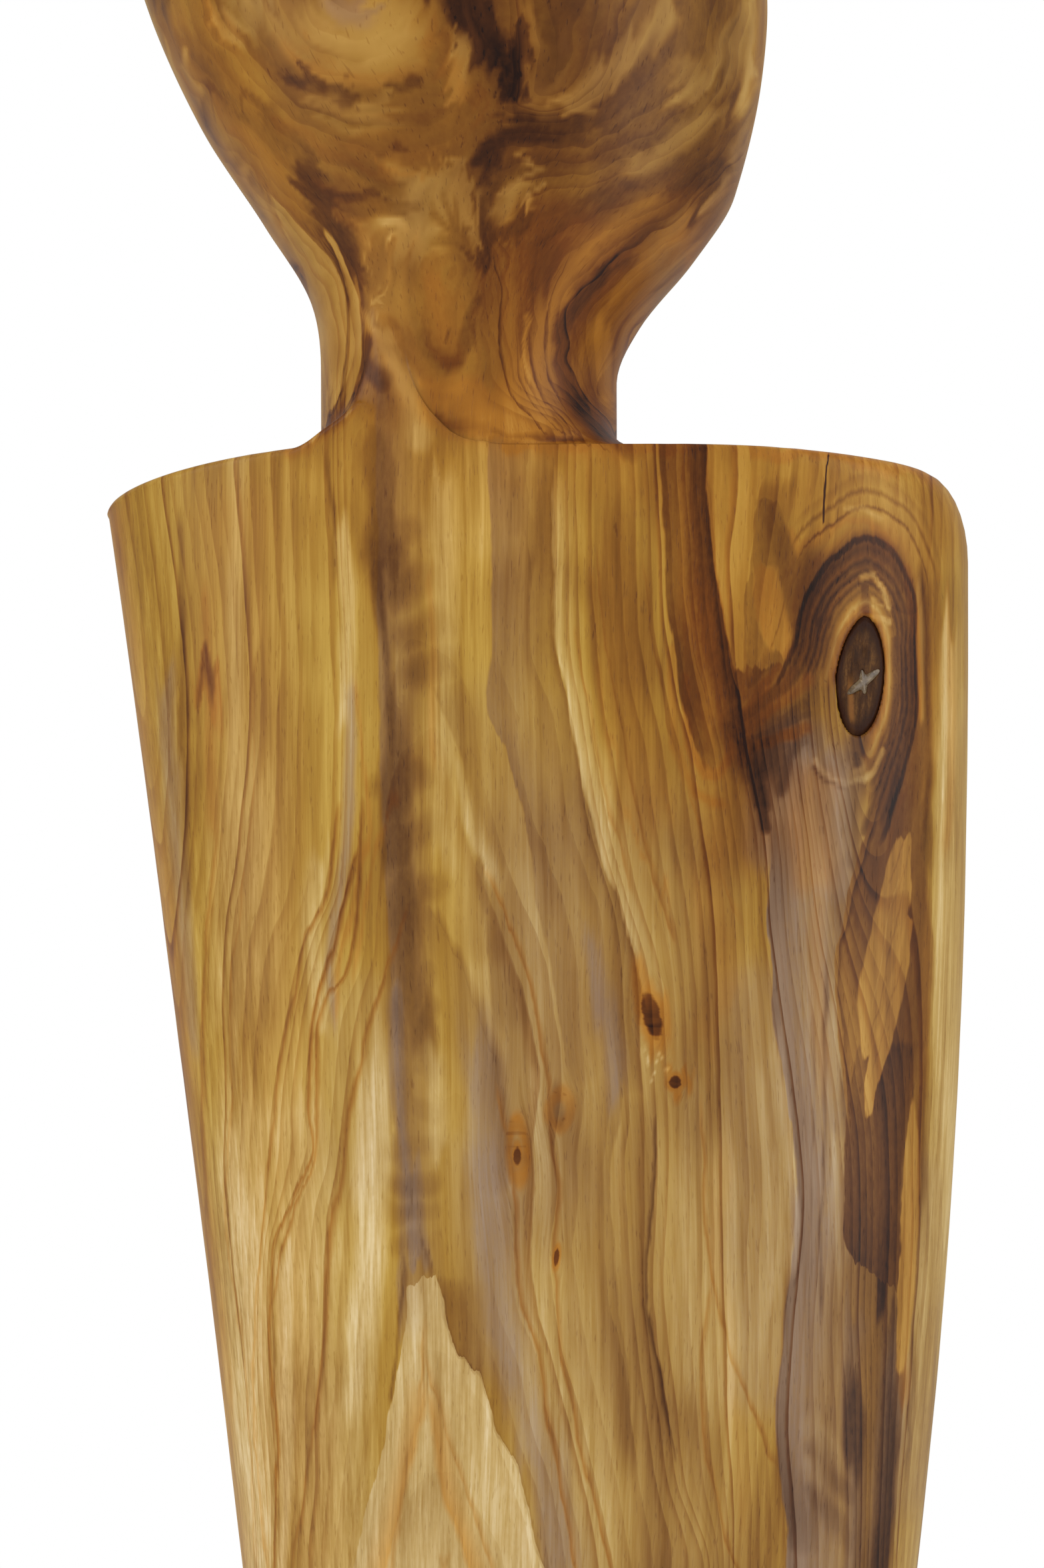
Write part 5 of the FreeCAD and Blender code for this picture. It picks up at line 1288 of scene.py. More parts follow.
class Finish:
    """A node material as it is built; its methods return the sockets of new nodes."""

    def __init__(self, name):
        self.material = bpy.data.materials.new(name)
        self.material.use_nodes = True
        self.tree = self.material.node_tree
        self.surface = self.tree.nodes["Principled BSDF"]

    def feed(self, socket, value):
        if isinstance(value, Socket):
            self.tree.links.new(value.socket, socket)
        else:
            socket.default_value = value

    def node(self, kind, output, inputs, **settings):
        node = self.tree.nodes.new("ShaderNode" + kind)
        for name, value in settings.items():
            setattr(node, name, value)
        for place, value in inputs.items():
            self.feed(node.inputs[place], value)
        return Socket(self, node.outputs[output])

    def set(self, **values):
        for name, value in values.items():
            self.feed(self.surface.inputs[name.replace("_", " ")], value)

    def attribute(self, name, output="Fac"):
        return self.node("Attribute", output, {}, attribute_name=name)

    def split(self, vector):
        x = self.node("SeparateXYZ", 0, {0: vector})
        return x, Socket(self, x.socket.node.outputs[1]), Socket(self, x.socket.node.outputs[2])

    def place(self):
        """Position on the object, in millimetres."""
        spot = self.node("TexCoord", "Object", {})
        return self.split(self.node("VectorMath", 0, {0: spot, "Scale": 1 / MM},
                                    operation="SCALE"))

    def cloud(self, x, y, z, detail=2.0, roughness=0.5):
        """Random values near 0.5 with cells one unit wide."""
        where = self.node("CombineXYZ", 0, {0: x, 1: y, 2: z})
        return self.node("TexNoise", 0, {"Vector": where, "Scale": 1.0, "Detail": detail,
                                         "Roughness": roughness})

    def dice(self, value):
        return self.node("TexWhiteNoise", "Value", {"W": value}, noise_dimensions="1D")

    def step(self, value, low, high, smooth=True):
        """0 below low, 1 above high."""
        share = self.node("MapRange", 0, {"Value": value, "From Min": low, "From Max": high},
                          interpolation_type="SMOOTHSTEP" if smooth else "LINEAR", clamp=False)
        return share if smooth else share.reckon("MINIMUM", 1.0).reckon("MAXIMUM", 0.0)

    def mix(self, share, first, second):
        node = self.tree.nodes.new("ShaderNodeMix")
        node.data_type = "RGBA"
        self.feed(node.inputs["Factor"], share)
        self.feed(node.inputs[6], first)
        self.feed(node.inputs[7], second)
        return Socket(self, node.outputs[2])

    def bands(self, value, stops):
        """Linear colours at values, as (value, (red, green, blue, alpha))."""
        node = self.tree.nodes.new("ShaderNodeValToRGB")
        self.feed(node.inputs[0], value)
        elements = node.color_ramp.elements
        while len(elements) < len(stops):
            elements.new(0.5)
        for element, (place, color) in zip(elements, stops):
            element.position = place
            element.color = color
        return Socket(self, node.outputs[0])

    def ramp(self, value, *stops):
        """Colours at values, as (value, (red, green, blue)) in screen values."""
        return self.bands(value, [(place, rgb(*color)) for place, color in stops])

    def course(self, share, points):
        """Smooth curve through (share, value) points, all between 0 and 1."""
        node = self.tree.nodes.new("ShaderNodeFloatCurve")
        curve = node.mapping.curves[0]
        for place, value in points[1:-1]:
            curve.points.new(place, value)
        curve.points[0].location, curve.points[-1].location = points[0], points[-1]
        for point in curve.points:
            point.handle_type = "AUTO_CLAMPED"
        node.mapping.update()
        self.feed(node.inputs["Value"], share)
        return Socket(self, node.outputs[0])

    def bump(self, height, millimetres):
        self.set(Normal=self.node("Bump", 0, {"Height": height, "Strength": 1.0,
                                              "Distance": millimetres * MM}))


# Seams lie between these levels, and within this reach of the middle
SEAM_LOW, SEAM_HIGH, SEAM_REACH = 30.0, 430.0, 100.0


def seam_share(wood, x_share, z_share, left, right, ends, points):
    """1 on a line up the front and less beside it, as a socket."""
    def place(z, x):
        return (z - SEAM_LOW) / (SEAM_HIGH - SEAM_LOW), 0.5 + x / SEAM_REACH / 2

    line = wood.course(z_share, [place(z, x) for z, x in points])
    low, high = points[0][0], points[-1][0]
    window = [(place(z, 0)[0], value) for z, value in
              ((low - ends, 0), (low + ends / 2, 1), (high - ends / 2, 1), (high + ends, 0))]
    offset = x_share - line
    share = offset.reckon("MULTIPLY_ADD", 2 * SEAM_REACH / left, 1.0)
    share = share.reckon("MINIMUM", offset.reckon("MULTIPLY_ADD", -2 * SEAM_REACH / right, 1.0))
    return share.reckon("MAXIMUM", 0.0) * wood.course(z_share, window)


def carved_wood():
    """Oiled wood: tone along the fibres, growth rings, stains with some painted highlight, sheen
    and shade among them, and pores.
    """
    wood = Finish("carved_wood")
    across, deep, along = wood.split(wood.attribute("grain", "Vector"))
    ring = wood.attribute("ring")
    # stain levels from the skin; a few of them are painted highlight and shade, not stain
    stain_and_painted_light = wood.attribute("stain_and_painted_light", "Vector")
    dark, grey, pale = wood.split(stain_and_painted_light)
    amber = Socket(wood, stain_and_painted_light.socket.node.outputs["Alpha"])
    eddy_place, eddy_strength, small = wood.split(wood.attribute("eddy", "Vector"))
    x, y, z = wood.place()

    fine, broad, whorl = wood.split(wood.attribute("swirl", "Vector"))
    fibre = wood.cloud(across * 2.4, deep * 2.4, along * 0.05, 3, 0.6)
    fibre = fibre + (fine - fibre) * whorl
    streak = wood.cloud(across * 0.55, deep * 0.55, along * 0.014, 3, 0.6)
    streak = streak + (broad - streak) * whorl
    blotch = wood.cloud(across * 0.07, deep * 0.07, along * 0.022, 2, 0.5)
    grit = wood.cloud(across * 1.2, deep * 1.2, along * 0.5, 2, 0.6)
    pores = wood.step(wood.cloud(across * 3.4, deep * 3.4, along * 0.32, 1, 0.5), 0.64, 0.74)
    sway = (wood.cloud(x * 0.2, y * 0.2, z * 0.08, 3, 0.5) - 0.5) * 2.4

    # crisp lines and regions of the front
    in_front = wood.step(y, 0.0, -14.0)
    x_share = (x + sway + (fibre - 0.5) * 0.5) * (0.5 / SEAM_REACH) + 0.5
    seam_rise = SEAM_HIGH - SEAM_LOW
    z_share = (z + (streak - 0.5) * 5) * (1 / seam_rise) - SEAM_LOW / seam_rise
    levels = dict(zip(STAIN_AND_LIGHT_KINDS, (dark, grey, pale, amber)))
    for wanted, left, right, ends, left_line, right_line in REGIONS:
        share = seam_share(wood, x_share, z_share, left, 60, ends, left_line)
        share = share.reckon("MINIMUM", seam_share(wood, x_share, z_share, 60, right, ends,
                                                   right_line))
        share = wood.step(share, 0.0, 0.5) * in_front * 0.85
        for kind, value in zip(levels, wanted):
            levels[kind] = levels[kind] + (levels[kind] * -1 + value) * share
    for kind, value, left, right, ends, points in SEAMS:
        share = seam_share(wood, x_share, z_share, left, right, ends, points) * in_front
        tints = (("amber", 1.0), ("dark", 0.5)) if kind == "rust" else ((kind, 1.0),)
        for tint, part in tints:
            levels[tint] = levels[tint].reckon("MAXIMUM", share * (value * part))

    # the eddy round the big knot, and the small knots
    bands = wood.bands((eddy_place + sway * 0.02 + (fibre - 0.5) * 0.1) * 0.5 - 0.5,
                       [((place - 1) / 2, (*shown, 1.0)) for place, *shown in EDDY_BANDS])
    parted = wood.node("SeparateColor", 0, {0: bands}).socket.node.outputs
    for kind, share in zip(("dark", "amber", "pale"), (Socket(wood, part) for part in parted)):
        levels[kind] = levels[kind].reckon("MAXIMUM", share * eddy_strength)
    small = small + (grit - 0.5) * 0.6
    levels["dark"] = levels["dark"].reckon("MAXIMUM", wood.step(small, 1.2, 0.8) * 0.9)
    levels["amber"] = levels["amber"].reckon("MAXIMUM", wood.step(small, 2.2, 1.2))

    # growth rings: fine lines of chance strength, each a little darker towards its end
    turns = ring * 0.7 + wood.cloud(ring * 0.15, 0.0, 0.0) * 2.0 + sway * 0.15
    count = turns.reckon("FLOOR")
    share = turns.reckon("FRACT")
    chance = wood.dice(count)
    line = wood.step(share, 0.45, 0.92) * wood.step(share * -1 + 1.0, 0.0, 0.08)
    line = line * (chance * chance * chance * 0.9 + 0.08)
    line = line * (whorl * wood.step(z, 400.0, 418.0) * -0.6 + 1.0)
    # the rings run wide where the front lies near the pith, and give way round the big knot
    wide = wood.step((x + (-PITH_X)).reckon("ABSOLUTE"), 20.0, 8.0) * in_front
    calm = (wide * -0.75 + 1.0) * (eddy_strength * -0.8 + 1.0)
    line = line * calm

    # one long scale from near black to cream, with an amber and a lilac cast; the lilac cast also
    # colours the painted sheen of the lilac band
    edge = (fibre - 0.5) * 0.9 + (streak - 0.5) * 0.9 + (grit - 0.5) * 0.4 + 1.0
    dark, grey, pale, amber = (levels[kind] * edge for kind in STAIN_AND_LIGHT_KINDS)
    dark = dark.reckon("MINIMUM", 1.05) * (wood.step(pale, 0.0, 1.0, False) * -0.8 + 1.0)
    calm = calm * (whorl * -0.5 + 1.0)
    shade = (streak - 0.5) * 0.36 + (blotch - 0.5) * 0.5 + (fibre - 0.5) * 0.2 + 0.59
    shade = shade + ((wood.dice(count + 0.5) - 0.5) * 0.08 + share * -0.07) * calm
    shade = shade + pale * 0.22 + dark * -0.46 + grey * -0.04 + amber * -0.05
    shade = shade + line * -0.22 + pores * -0.08
    color = wood.ramp(shade, (0.0, (26, 11, 5)), (0.12, (54, 27, 10)), (0.25, (92, 56, 18)),
                      (0.4, (130, 88, 30)), (0.55, (160, 120, 44)), (0.7, (184, 148, 66)),
                      (0.85, (206, 176, 108)), (1.0, (226, 204, 154)))
    lilac = wood.ramp(shade, (0.0, (28, 15, 9)), (0.25, (84, 57, 40)), (0.5, (134, 107, 84)),
                      (0.7, (158, 134, 110)), (0.9, (194, 174, 148)))
    warm = wood.ramp(shade, (0.0, (34, 13, 5)), (0.25, (106, 56, 14)), (0.5, (158, 102, 32)),
                     (0.75, (196, 144, 62)), (1.0, (222, 184, 114)))
    cream = wood.ramp(shade, (0.3, (118, 92, 54)), (0.55, (166, 136, 84)), (0.75, (200, 172, 118)),
                      (0.95, (226, 206, 162)))
    color = wood.mix(wood.step(pale, 0.1, 1.1, False), color, cream)
    color = wood.mix(wood.step(grey, 0.0, 1.0, False), color, lilac)
    color = wood.mix(wood.step(amber + line * 0.6, 0.0, 1.1, False), color, warm)
    wood.set(Base_Color=color, Roughness=(fibre - 0.5) * 0.16 + 0.42, Specular_IOR_Level=0.15,
             Coat_Weight=0.04, Coat_Roughness=0.25)
    wood.bump(fibre * 0.5 + pores * -0.6 + line * 0.4, 0.03)
    return wood.material


def knot_wood():
    """The dead knot: a black bark rim round an olive brown heart with one orange streak."""
    knot = Finish("knot_wood")
    radius, across, along = knot.split(knot.attribute("knot", "Vector"))
    flow = knot.cloud(across * 0.9, 0.0, along * 0.16, 3, 0.6)
    grit = knot.cloud(across * 2.6, 0.0, along * 1.4, 2, 0.6)
    rings = ((radius * 16.0 + flow * 3.0).reckon("SINE")) * 0.5 + 0.5
    color = knot.ramp(flow + (grit - 0.5) * 0.4, (0.3, (44, 24, 11)), (0.52, (72, 44, 20)),
                      (0.72, (104, 70, 34)))
    color = knot.mix(rings * 0.4, color, rgb(44, 24, 12))
    side = across * -1 - along * 0.1 - 2.0
    warm = knot.step(side.reckon("ABSOLUTE"), 0.9, 0.1) * knot.step(along, 1.0, -3.0)
    color = knot.mix(warm * 0.45, color, rgb(160, 104, 46))
    edge = knot.step(radius + (flow - 0.5) * 0.12 + (grit - 0.5) * 0.08, 0.7, 0.86)
    color = knot.mix(edge * 0.85, color, rgb(42, 19, 9))
    knot.set(Base_Color=color, Roughness=(grit - 0.5) * 0.3 + 0.42, Specular_IOR_Level=0.08)
    knot.bump(grit + flow, 0.05)
    return knot.material


def filler_resin():
    """Cloudy grey brown resin with pale specks."""
    resin = Finish("filler_resin")
    x, y, z = resin.place()
    cloudy = resin.cloud(x * 0.7, y * 0.7, z * 0.7, 3, 0.6)
    specks = resin.step(resin.cloud(x * 3, y * 3, z * 3, 1), 0.66, 0.74)
    color = resin.ramp(cloudy, (0.32, (70, 54, 36)), (0.55, (104, 86, 62)), (0.75, (134, 116, 88)))
    color = resin.mix(specks * 0.5, color, rgb(196, 176, 142))
    resin.set(Base_Color=color, Roughness=0.2, Specular_IOR_Level=0.3, Coat_Weight=0.15,
              Coat_Roughness=0.08)
    resin.bump(cloudy, 0.08)
    return resin.material


def plinth_wood():
    """Dark stained hardwood whose grain runs along X."""
    wood = Finish("plinth_wood")
    x, y, z = wood.place()
    sway = (wood.cloud(x * 0.02, y * 0.05, z * 0.05) - 0.5) * 6
    deep = y + z * 0.35 + sway
    streak = wood.cloud(x * 0.016, deep * 0.5, z * 0.5, 3, 0.6)
    fibre = wood.cloud(x * 0.09, deep * 3.0, z * 3.0, 2, 0.6)
    pores = wood.step(wood.cloud(x * 0.35, deep * 4.0, z * 4.0, 1), 0.64, 0.72)
    rings = wood.step((deep * 0.3 + streak * 2.0).reckon("FRACT"), 0.6, 1.0)
    color = wood.ramp(streak * 0.7 + fibre * 0.3, (0.3, (28, 20, 15)), (0.55, (46, 32, 23)),
                      (0.75, (62, 44, 31)))
    color = wood.mix(rings * 0.4, color, rgb(24, 16, 12))
    color = wood.mix(pores * 0.6, color, rgb(14, 10, 8))
    wood.set(Base_Color=color, Roughness=fibre * 0.3 + 0.28, Coat_Weight=0.2, Coat_Roughness=0.3)
    wood.bump(fibre * 0.5 + pores * -1.0, 0.04)
    return wood.material


def metal(name, low, high, roughness, stretch):
    """Turned or drawn metal with fine marks stretched along one of its sides."""
    bare = Finish(name)
    x, y, z = bare.place()
    marks = bare.cloud(x * stretch[0], y * stretch[1], z * stretch[2], 3, 0.7)
    tarnish = bare.cloud(x * 0.12, y * 0.12, z * 0.12, 3, 0.6)
    color = bare.ramp(tarnish * 0.6 + marks * 0.4, (0.3, low), (0.7, high))
    bare.set(Base_Color=color, Metallic=1.0, Roughness=marks * 0.25 + roughness)
    bare.bump(marks, 0.01)
    return bare.material


def pressed_felt():
    """Wool felt: short tangled fibres in two tones, with no shine."""
    felt = Finish("pressed_felt")
    x, y, z = felt.place()
    turn = felt.cloud(x * 0.25, y * 0.25, z * 0.25) * 6
    tangle = felt.cloud(x * 1.6 + turn, y * 1.6, z * 1.6, 3, 0.7)
    strands = felt.cloud(x * 0.8, y * 4.0 + turn, z * 4.0, 2, 0.7)
    color = felt.ramp(tangle * 0.6 + strands * 0.4, (0.35, (22, 24, 23)), (0.65, (52, 54, 52)))
    felt.set(Base_Color=color, Roughness=0.95, Sheen_Weight=0.3, Specular_IOR_Level=0.2)
    felt.bump(tangle + strands, 0.25)
    return felt.material


# ---- The figure's skin --------------------------------------------------------------------

FRONT_PITCH, BACK_PITCH, ROW_PITCH, KNOT_PITCH = 0.52, 1.7, 0.72, 0.36
TURN_SAMPLES, RISE_SAMPLES = 4001, 2001
POCKET_DEPTH = 2.0
SLEEVE_BOND = 0.1
HOLE_ROOM = 2.0
DOWEL_CLEARANCE = 0.05
BORE_SIDES = 48


def spread(places, pitches):
    """Places along a run, close together where the pitch is small; the run's end is left out."""
    runs = np.concatenate([[0.0], np.cumsum(1 / pitches)])
    count = int(round(runs[-1]))
    return np.interp(np.arange(count) * runs[-1] / count, runs, places)


def skin_angles():
    """Angles round the skin: close together on the front, closest at the knot."""
    angle = np.linspace(0, 2 * math.pi, TURN_SAMPLES)
    x, y = torso_point(angle, KNOT_Z)
    middle, sine = (x[1:] + x[:-1]) / 2, np.sin((angle[1:] + angle[:-1]) / 2)
    pitch = FRONT_PITCH + (BACK_PITCH - FRONT_PITCH) * ease((sine + 0.3) / 0.6)
    pitch = np.where((sine < 0) & (np.abs(middle - KNOT_X) < 9), KNOT_PITCH, pitch)
    return spread(angle, pitch / np.hypot(np.diff(x), np.diff(y)))


def side_levels():
    """Rows up the torso's side as shares of it, closest at the knot."""
    share = np.linspace(0, 1, RISE_SAMPLES)
    level = PLINTH_TOP + TORSO_HEIGHT * (share[1:] + share[:-1]) / 2
    pitch = np.where(np.abs(level - KNOT_Z) < 15, KNOT_PITCH, ROW_PITCH)
    return np.append(spread(share, pitch / (TORSO_HEIGHT * np.diff(share)))[1:], 1.0)


def bored_sole(rim, points, faces):
    """Closes the foot between its rim and the bores for the sleeve and the dowel."""
    loops = [rim]
    for node, grow in (("pin_sleeve", SLEEVE_BOND), ("turning_stop", DOWEL_CLEARANCE)):
        low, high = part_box(node)
        x, y = (low[0] + high[0]) / 2 / MM, (low[1] + high[1]) / 2 / MM
        radius, top = (high[0] - low[0]) / 2 / MM + grow, high[2] / MM + HOLE_ROOM
        turns = np.linspace(0, 2 * math.pi, BORE_SIDES, endpoint=False)
        mouth = [len(points) + k for k in range(BORE_SIDES)]
        roof = [k + BORE_SIDES for k in mouth]
        for level in (PLINTH_TOP, top):
            points += [(x + radius * math.cos(t), y + radius * math.sin(t), level) for t in turns]
        faces += [(mouth[k], mouth[k - 1], roof[k - 1], roof[k]) for k in range(BORE_SIDES)]
        faces.append(roof)
        loops.append(mouth)
    order = [index for loop in loops for index in loop]
    outline = [[Vector(points[index]) for index in loop] for loop in loops]
    for triangle in tessellate_polygon(outline):
        a, b, c = (order[k] for k in triangle)
        flat = np.cross(np.subtract(points[b], points[a]), np.subtract(points[c], points[a]))
        faces.append((a, b, c) if flat[2] < 0 else (a, c, b))


def figure_skin():
    """The figure's skin with its pocket and bores, and what its wood shows at every point."""
    angle = skin_angles()
    rows = skin_rows(angle, side_levels(), round_rows=9, ledge_rows=16, neck_rows=18,
                     head_rows=92, crown_rows=84)
    count_rows, _, count = rows.shape
    points = rows[:-1].transpose(0, 2, 1).reshape(-1, 3)
    crown = rows[-1, :, 0]
    front = np.tile(frontness(angle), count_rows - 1)
    x, y, z = points.T
    face = ease((front - 0.35) / 0.5)
    head_grain = HeadGrain()
    swirl, rank = head_grain.swirl(x, z, face)
    across, along, ring = grain_course(x, y, z, front, swirl[:, 2], rank)
    stain_and_painted_light = stain_and_light_levels(x, y, z, front, head_grain.carry(x, z, face))
    whirl = eddy(x, z, face)

    # slight unevenness of hand work, inwards only, and the pocket that holds the knot
    shape = rows[:-1]
    along_row = np.roll(shape, -1, axis=2) - np.roll(shape, 1, axis=2)
    up_column = np.gradient(shape, axis=0)
    normal = np.cross(along_row, up_column, axis=1).transpose(0, 2, 1).reshape(-1, 3)
    normal /= np.maximum(np.linalg.norm(normal, axis=1, keepdims=True), 1e-9)
    dent = 0.12 * (1 + noise(31, (26, 26, 34), x, y, z)) + 0.03 * noise(32, (3, 3, 9), x, y, z)
    dent = dent * ease((z - PLINTH_TOP) / 6)
    rho = knot_radius(x, z)
    inside = (front > 0.5) & (rho < 1) & (y < 0)
    points = points - normal * dent[:, None] * (~inside[:, None])
    pocket = np.where(inside, POCKET_DEPTH * ease((1 - rho) * KNOT_WIDTH / 2 / 0.3), 0.0)
    points[:, 1] += pocket

    starts = np.arange(count_rows - 2)[:, None] * count
    a = (starts + np.arange(count)).ravel()
    b = (starts + (np.arange(count) + 1) % count).ravel()
    faces = np.stack([a, b, b + count, a + count], 1).tolist()
    last = (count_rows - 2) * count + np.arange(count)
    faces += [(int(p), int(q), len(points)) for p, q in zip(last, np.roll(last, -1))]
    points = [tuple(point) for point in points.tolist()] + [tuple(crown)]
    bored_sole(list(range(count)), points, faces)

    skin = mesh_object("figure_skin", points, faces, "figure", carved_wood())
    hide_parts("carved_figure")
    extra = np.array(points[len(x):])
    none = np.zeros(len(extra))
    more = grain_course(*extra.T, none, none, none)
    grain = np.stack([np.append(across, more[0]), np.array(points)[:, 1],
                      np.append(along, more[1])], 1)
    store(skin.data, "grain", grain)
    store(skin.data, "ring", np.append(ring, more[2]))
    # the stain levels also hold painted light: the highlight on the neck's crisp edge, and shade
    # at the ledge's foot and along the neck's left ridge
    store(skin.data, "stain_and_painted_light", np.concatenate([stain_and_painted_light, np.zeros((len(extra), 4))]))
    store(skin.data, "swirl", np.concatenate([swirl, np.zeros((len(extra), 3))]))
    store(skin.data, "eddy", np.concatenate([whirl, np.tile([6.0, 0.0, 4.0], (len(extra), 1))]))


# ---- Knot and the resin in its crack ------------------------------------------------------

PLUG_SIDES = 144
KNOT_FILL = 0.985
KNOT_SET_BACK, RESIN_SET_BACK = 0.18, 0.02
CRACK_X, CRACK_Z, CRACK_DEPTH = 0.6, -1.1, 4.0
LONG_ARM, LONG_TURN = (4.9, 1.05), math.radians(36)
SHORT_ARM, SHORT_TURN = (2.9, 0.75), math.radians(97)


def star_reach(turn):
    """Outline of the crack round its centre: two pointed ovals that cross."""
    reach = 0.0
    for (length, width), lean in ((LONG_ARM, LONG_TURN), (SHORT_ARM, SHORT_TURN)):
        oval = 1 / np.hypot(np.cos(turn - lean) / length, np.sin(turn - lean) / width)
        reach = reach + oval ** 5
    return reach ** 0.2


def plug(name, centre, reach, shares, relief, depth, taper, material):
    """A plug with this outline whose front follows the torso's; relief sets places back."""
    turn = np.linspace(0, 2 * math.pi, PLUG_SIDES, endpoint=False)
    reach = reach(turn)
    x, z = (np.concatenate([[centre[k]]] + [centre[k] + share * reach * side for share in shares])
            for k, side in enumerate((np.cos(turn), np.sin(turn))))
    share = np.concatenate([[0.0]] + [np.full_like(turn, value) for value in shares])
    y = front_surface(x, z) + relief(share, x, z)
    floor = y.max() + depth
    x = np.concatenate([x, centre[0] + taper * reach * np.cos(turn), [centre[0]]])
    z = np.concatenate([z, centre[1] + taper * reach * np.sin(turn), [centre[1]]])
    y = np.concatenate([y, np.full(len(turn) + 1, floor)])
    faces = []
    for k in range(len(turn)):
        after = (k + 1) % len(turn)
        faces.append((0, 1 + k, 1 + after))
        for low in range(1, 1 + len(shares) * len(turn), len(turn)):
            high = low + len(turn)
            faces.append((low + k, high + k, high + after, low + after))
        faces.append((len(x) - 1, len(x) - 1 - len(turn) + after, len(x) - 1 - len(turn) + k))
    piece = mesh_object(name, np.stack([x, y, z], 1), faces, "figure", material)
    across, along = leaning(x - KNOT_X, z - KNOT_Z, KNOT_TILT)
    store(piece.data, "knot", np.stack([knot_radius(x, z), across, along], 1))
    return piece


def knot_and_crack():
    """The dead knot in its pocket, and the resin in the groove of the knot."""
    def knot_reach(turn):
        return KNOT_FILL / knot_radius(KNOT_X + np.cos(turn), KNOT_Z + np.sin(turn))

    def crack_share(x, z):
        dx, dz = x - KNOT_X - CRACK_X, z - KNOT_Z - CRACK_Z
        return np.hypot(dx, dz) / star_reach(np.arctan2(dz, dx))

    def knot_relief(share, x, z):
        rough = 0.08 * noise(41, (1.4, 1, 2.6), x, np.zeros_like(x), z)
        groove = (CRACK_DEPTH - 0.4) * ease((0.8 - crack_share(x, z)) / 0.2)
        return KNOT_SET_BACK + rough + 0.5 * ease((share - 0.9) / 0.1) + groove

    def resin_relief(share, x, z):
        rough = 0.05 * noise(42, (0.9, 1, 0.9), x, np.zeros_like(x), z)
        return RESIN_SET_BACK + rough + 0.5 * share ** 3

    knot = plug("knot_plug", (KNOT_X, KNOT_Z), knot_reach, np.linspace(0, 1, 41)[1:], knot_relief,
                KNOT_DEPTH, 0.9, knot_wood())
    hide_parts("dead_knot")
    resin = plug("crack_fill", (KNOT_X + CRACK_X, KNOT_Z + CRACK_Z), star_reach,
                 np.linspace(0, 1, 17)[1:], resin_relief, CRACK_DEPTH - 0.6, 0.9,
                 filler_resin())
    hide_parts("crack_resin")


# ---- Felt under the plinth ----------------------------------------------------------------

FELT_EDGE = 0.8
FELT_SQUARENESS = 24
FELT_SIDES = 720


def felt_pad():
    """A pad of pressed felt: its edge bulges a little and wanders where it was cut."""
    (low_x, low_y, low_z), (high_x, high_y, high_z) = (
        [side / MM for side in corner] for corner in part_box("base_felt"))
    half_x, half_y = (high_x - low_x) / 2, (high_y - low_y) / 2
    turn = np.linspace(0, 2 * math.pi, FELT_SIDES, endpoint=False)
    outline = (np.abs(np.cos(turn) / half_x) ** FELT_SQUARENESS
               + np.abs(np.sin(turn) / half_y) ** FELT_SQUARENESS) ** (-1 / FELT_SQUARENESS)
    edge_x, edge_y = outline * np.cos(turn), outline * np.sin(turn)
    wander = 0.35 * (noise(51, (3, 3, 3), edge_x, edge_y, edge_x * 0) - 1)
    rows = []
    tall = high_z - low_z
    for share, inset, level in ([(s, 0.0, 0.0) for s in (0.3, 0.6, 0.85, 0.95)]
                                + [(1.0, FELT_EDGE * (1 - math.sin(t)), 0.5 - 0.5 * math.cos(t))
                                   for t in np.linspace(0.2, math.pi - 0.2, 9)]
                                + [(s, 0.0, 1.0) for s in (0.95, 0.85, 0.6, 0.3)]):
        reach = share - (inset * 0.5 - wander) / outline
        rows.append(np.stack([edge_x * reach, edge_y * reach,
                              low_z + tall * level + 0 * edge_x], 1))
    points = np.concatenate(rows + [[[0, 0, low_z], [0, 0, high_z]]])
    count, faces = len(turn), []
    for start in range(0, (len(rows) - 1) * count, count):
        for k in range(count):
            after = (k + 1) % count
            faces.append((start + k, start + after, start + count + after, start + count + k))
    end = (len(rows) - 1) * count
    for k in range(count):
        after = (k + 1) % count
        faces.append((len(points) - 2, after, k))
        faces.append((len(points) - 1, end + k, end + after))
    pad = mesh_object("felt_pad", points, faces, "stand", pressed_felt())
    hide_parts("base_felt")


# ---- The CAD pieces that show as they are --------------------------------------------------

def dress(node, material):
    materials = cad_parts[node].data.materials
    materials.clear()
    materials.append(material)


figure_skin()
knot_and_crack()
felt_pad()
dress("plinth", plinth_wood())
steel = metal("turned_steel", (120, 121, 122), (176, 177, 179), 0.28, (2.0, 2.0, 0.2))
for node in ("mounting_pin", "turning_stop", "pin_nut"):
    dress(node, steel)
dress("pin_washer",
      metal("washer_steel", (132, 132, 130), (188, 188, 186), 0.34, (1.4, 1.4, 1.4)))
dress("pin_sleeve", metal("drawn_brass", (168, 126, 62), (206, 168, 96), 0.3, (2.5, 2.5, 0.15)))

# ---- Stage, light and camera --------------------------------------------------------------

AIR_LIGHT = 0.45
LIT_POINT = Vector((0, 0, 0.3))
CAMERA_DISTANCE, FIELD_WIDTH, SENSOR_WIDTH = 1.3, 0.2007, 36.0
PICTURE_X, PICTURE_Z = -0.0033, 0.3105
FLOOR_REACH, FLOOR_TONE = 1.0, 0.85

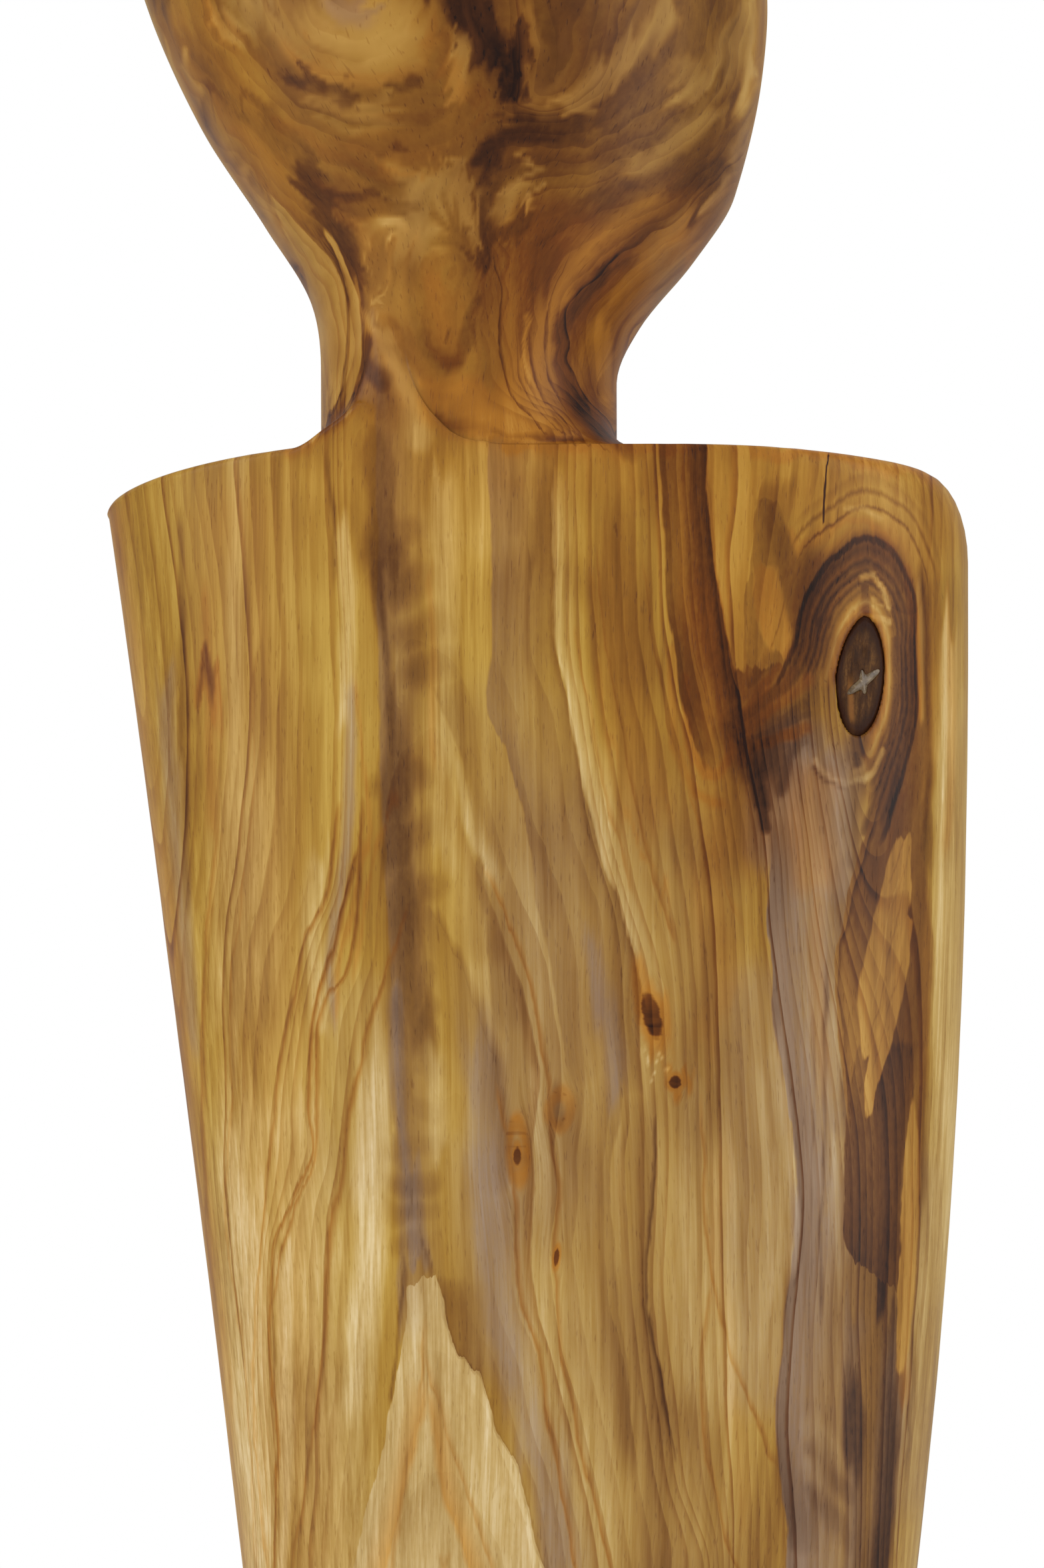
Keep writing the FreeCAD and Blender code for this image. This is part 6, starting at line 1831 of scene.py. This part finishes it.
world = bpy.data.worlds.new("world")
bpy.context.scene.world = world
world.use_nodes = True
nodes = world.node_tree.nodes
links = world.node_tree.links
nodes.clear()
out = nodes.new("ShaderNodeOutputWorld")
mix = nodes.new("ShaderNodeMixShader")
path = nodes.new("ShaderNodeLightPath")
seen, lit = nodes.new("ShaderNodeBackground"), nodes.new("ShaderNodeBackground")
for background, strength in ((seen, 1.0), (lit, AIR_LIGHT)):
    background.inputs["Color"].default_value = (1, 1, 1, 1)
    background.inputs["Strength"].default_value = strength
links.new(path.outputs["Is Camera Ray"], mix.inputs[0])
links.new(lit.outputs[0], mix.inputs[1])
links.new(seen.outputs[0], mix.inputs[2])
links.new(mix.outputs[0], out.inputs["Surface"])


def area_lamp(name, place, size, power):
    lamp = bpy.data.lights.new(name, "AREA")
    lamp.shape = "RECTANGLE"
    lamp.size, lamp.size_y = size
    lamp.energy = power
    obj = bpy.data.objects.new(name, lamp)
    obj.location = place
    obj.rotation_euler = (LIT_POINT - Vector(place)).to_track_quat("-Z", "Y").to_euler()
    bpy.context.scene.collection.objects.link(obj)


area_lamp("key_left", (-1.1, -1.0, 0.9), (0.9, 1.4), 14)
area_lamp("fill_right", (1.2, -0.7, 0.6), (0.9, 1.4), 10)
area_lamp("top", (0.0, 0.2, 1.5), (1.2, 1.2), 8)

camera_data = bpy.data.cameras.new("camera")
camera = bpy.data.objects.new("camera", camera_data)
bpy.context.scene.collection.objects.link(camera)
bpy.context.scene.camera = camera
camera_data.sensor_fit = "HORIZONTAL"
camera_data.sensor_width = SENSOR_WIDTH
camera_data.lens = SENSOR_WIDTH * CAMERA_DISTANCE / FIELD_WIDTH
camera.location = (PICTURE_X, -CAMERA_DISTANCE, PICTURE_Z)
camera.rotation_euler = (math.pi / 2, 0, 0)

floor = bpy.data.meshes.new("floor")
floor.from_pydata([(x * FLOOR_REACH, y * FLOOR_REACH, 0)
                   for x, y in ((-1, -1), (1, -1), (1, 1), (-1, 1))], [], [(0, 1, 2, 3)])
floor_obj = bpy.data.objects.new("floor", floor)
bpy.context.scene.collection.objects.link(floor_obj)
pale = bpy.data.materials.new("pale")
pale.use_nodes = True
pale_surface = pale.node_tree.nodes["Principled BSDF"]
pale_surface.inputs["Base Color"].default_value = (FLOOR_TONE, FLOOR_TONE, FLOOR_TONE, 1)
floor.materials.append(pale)

bpy.context.scene.view_settings.view_transform = "Standard"
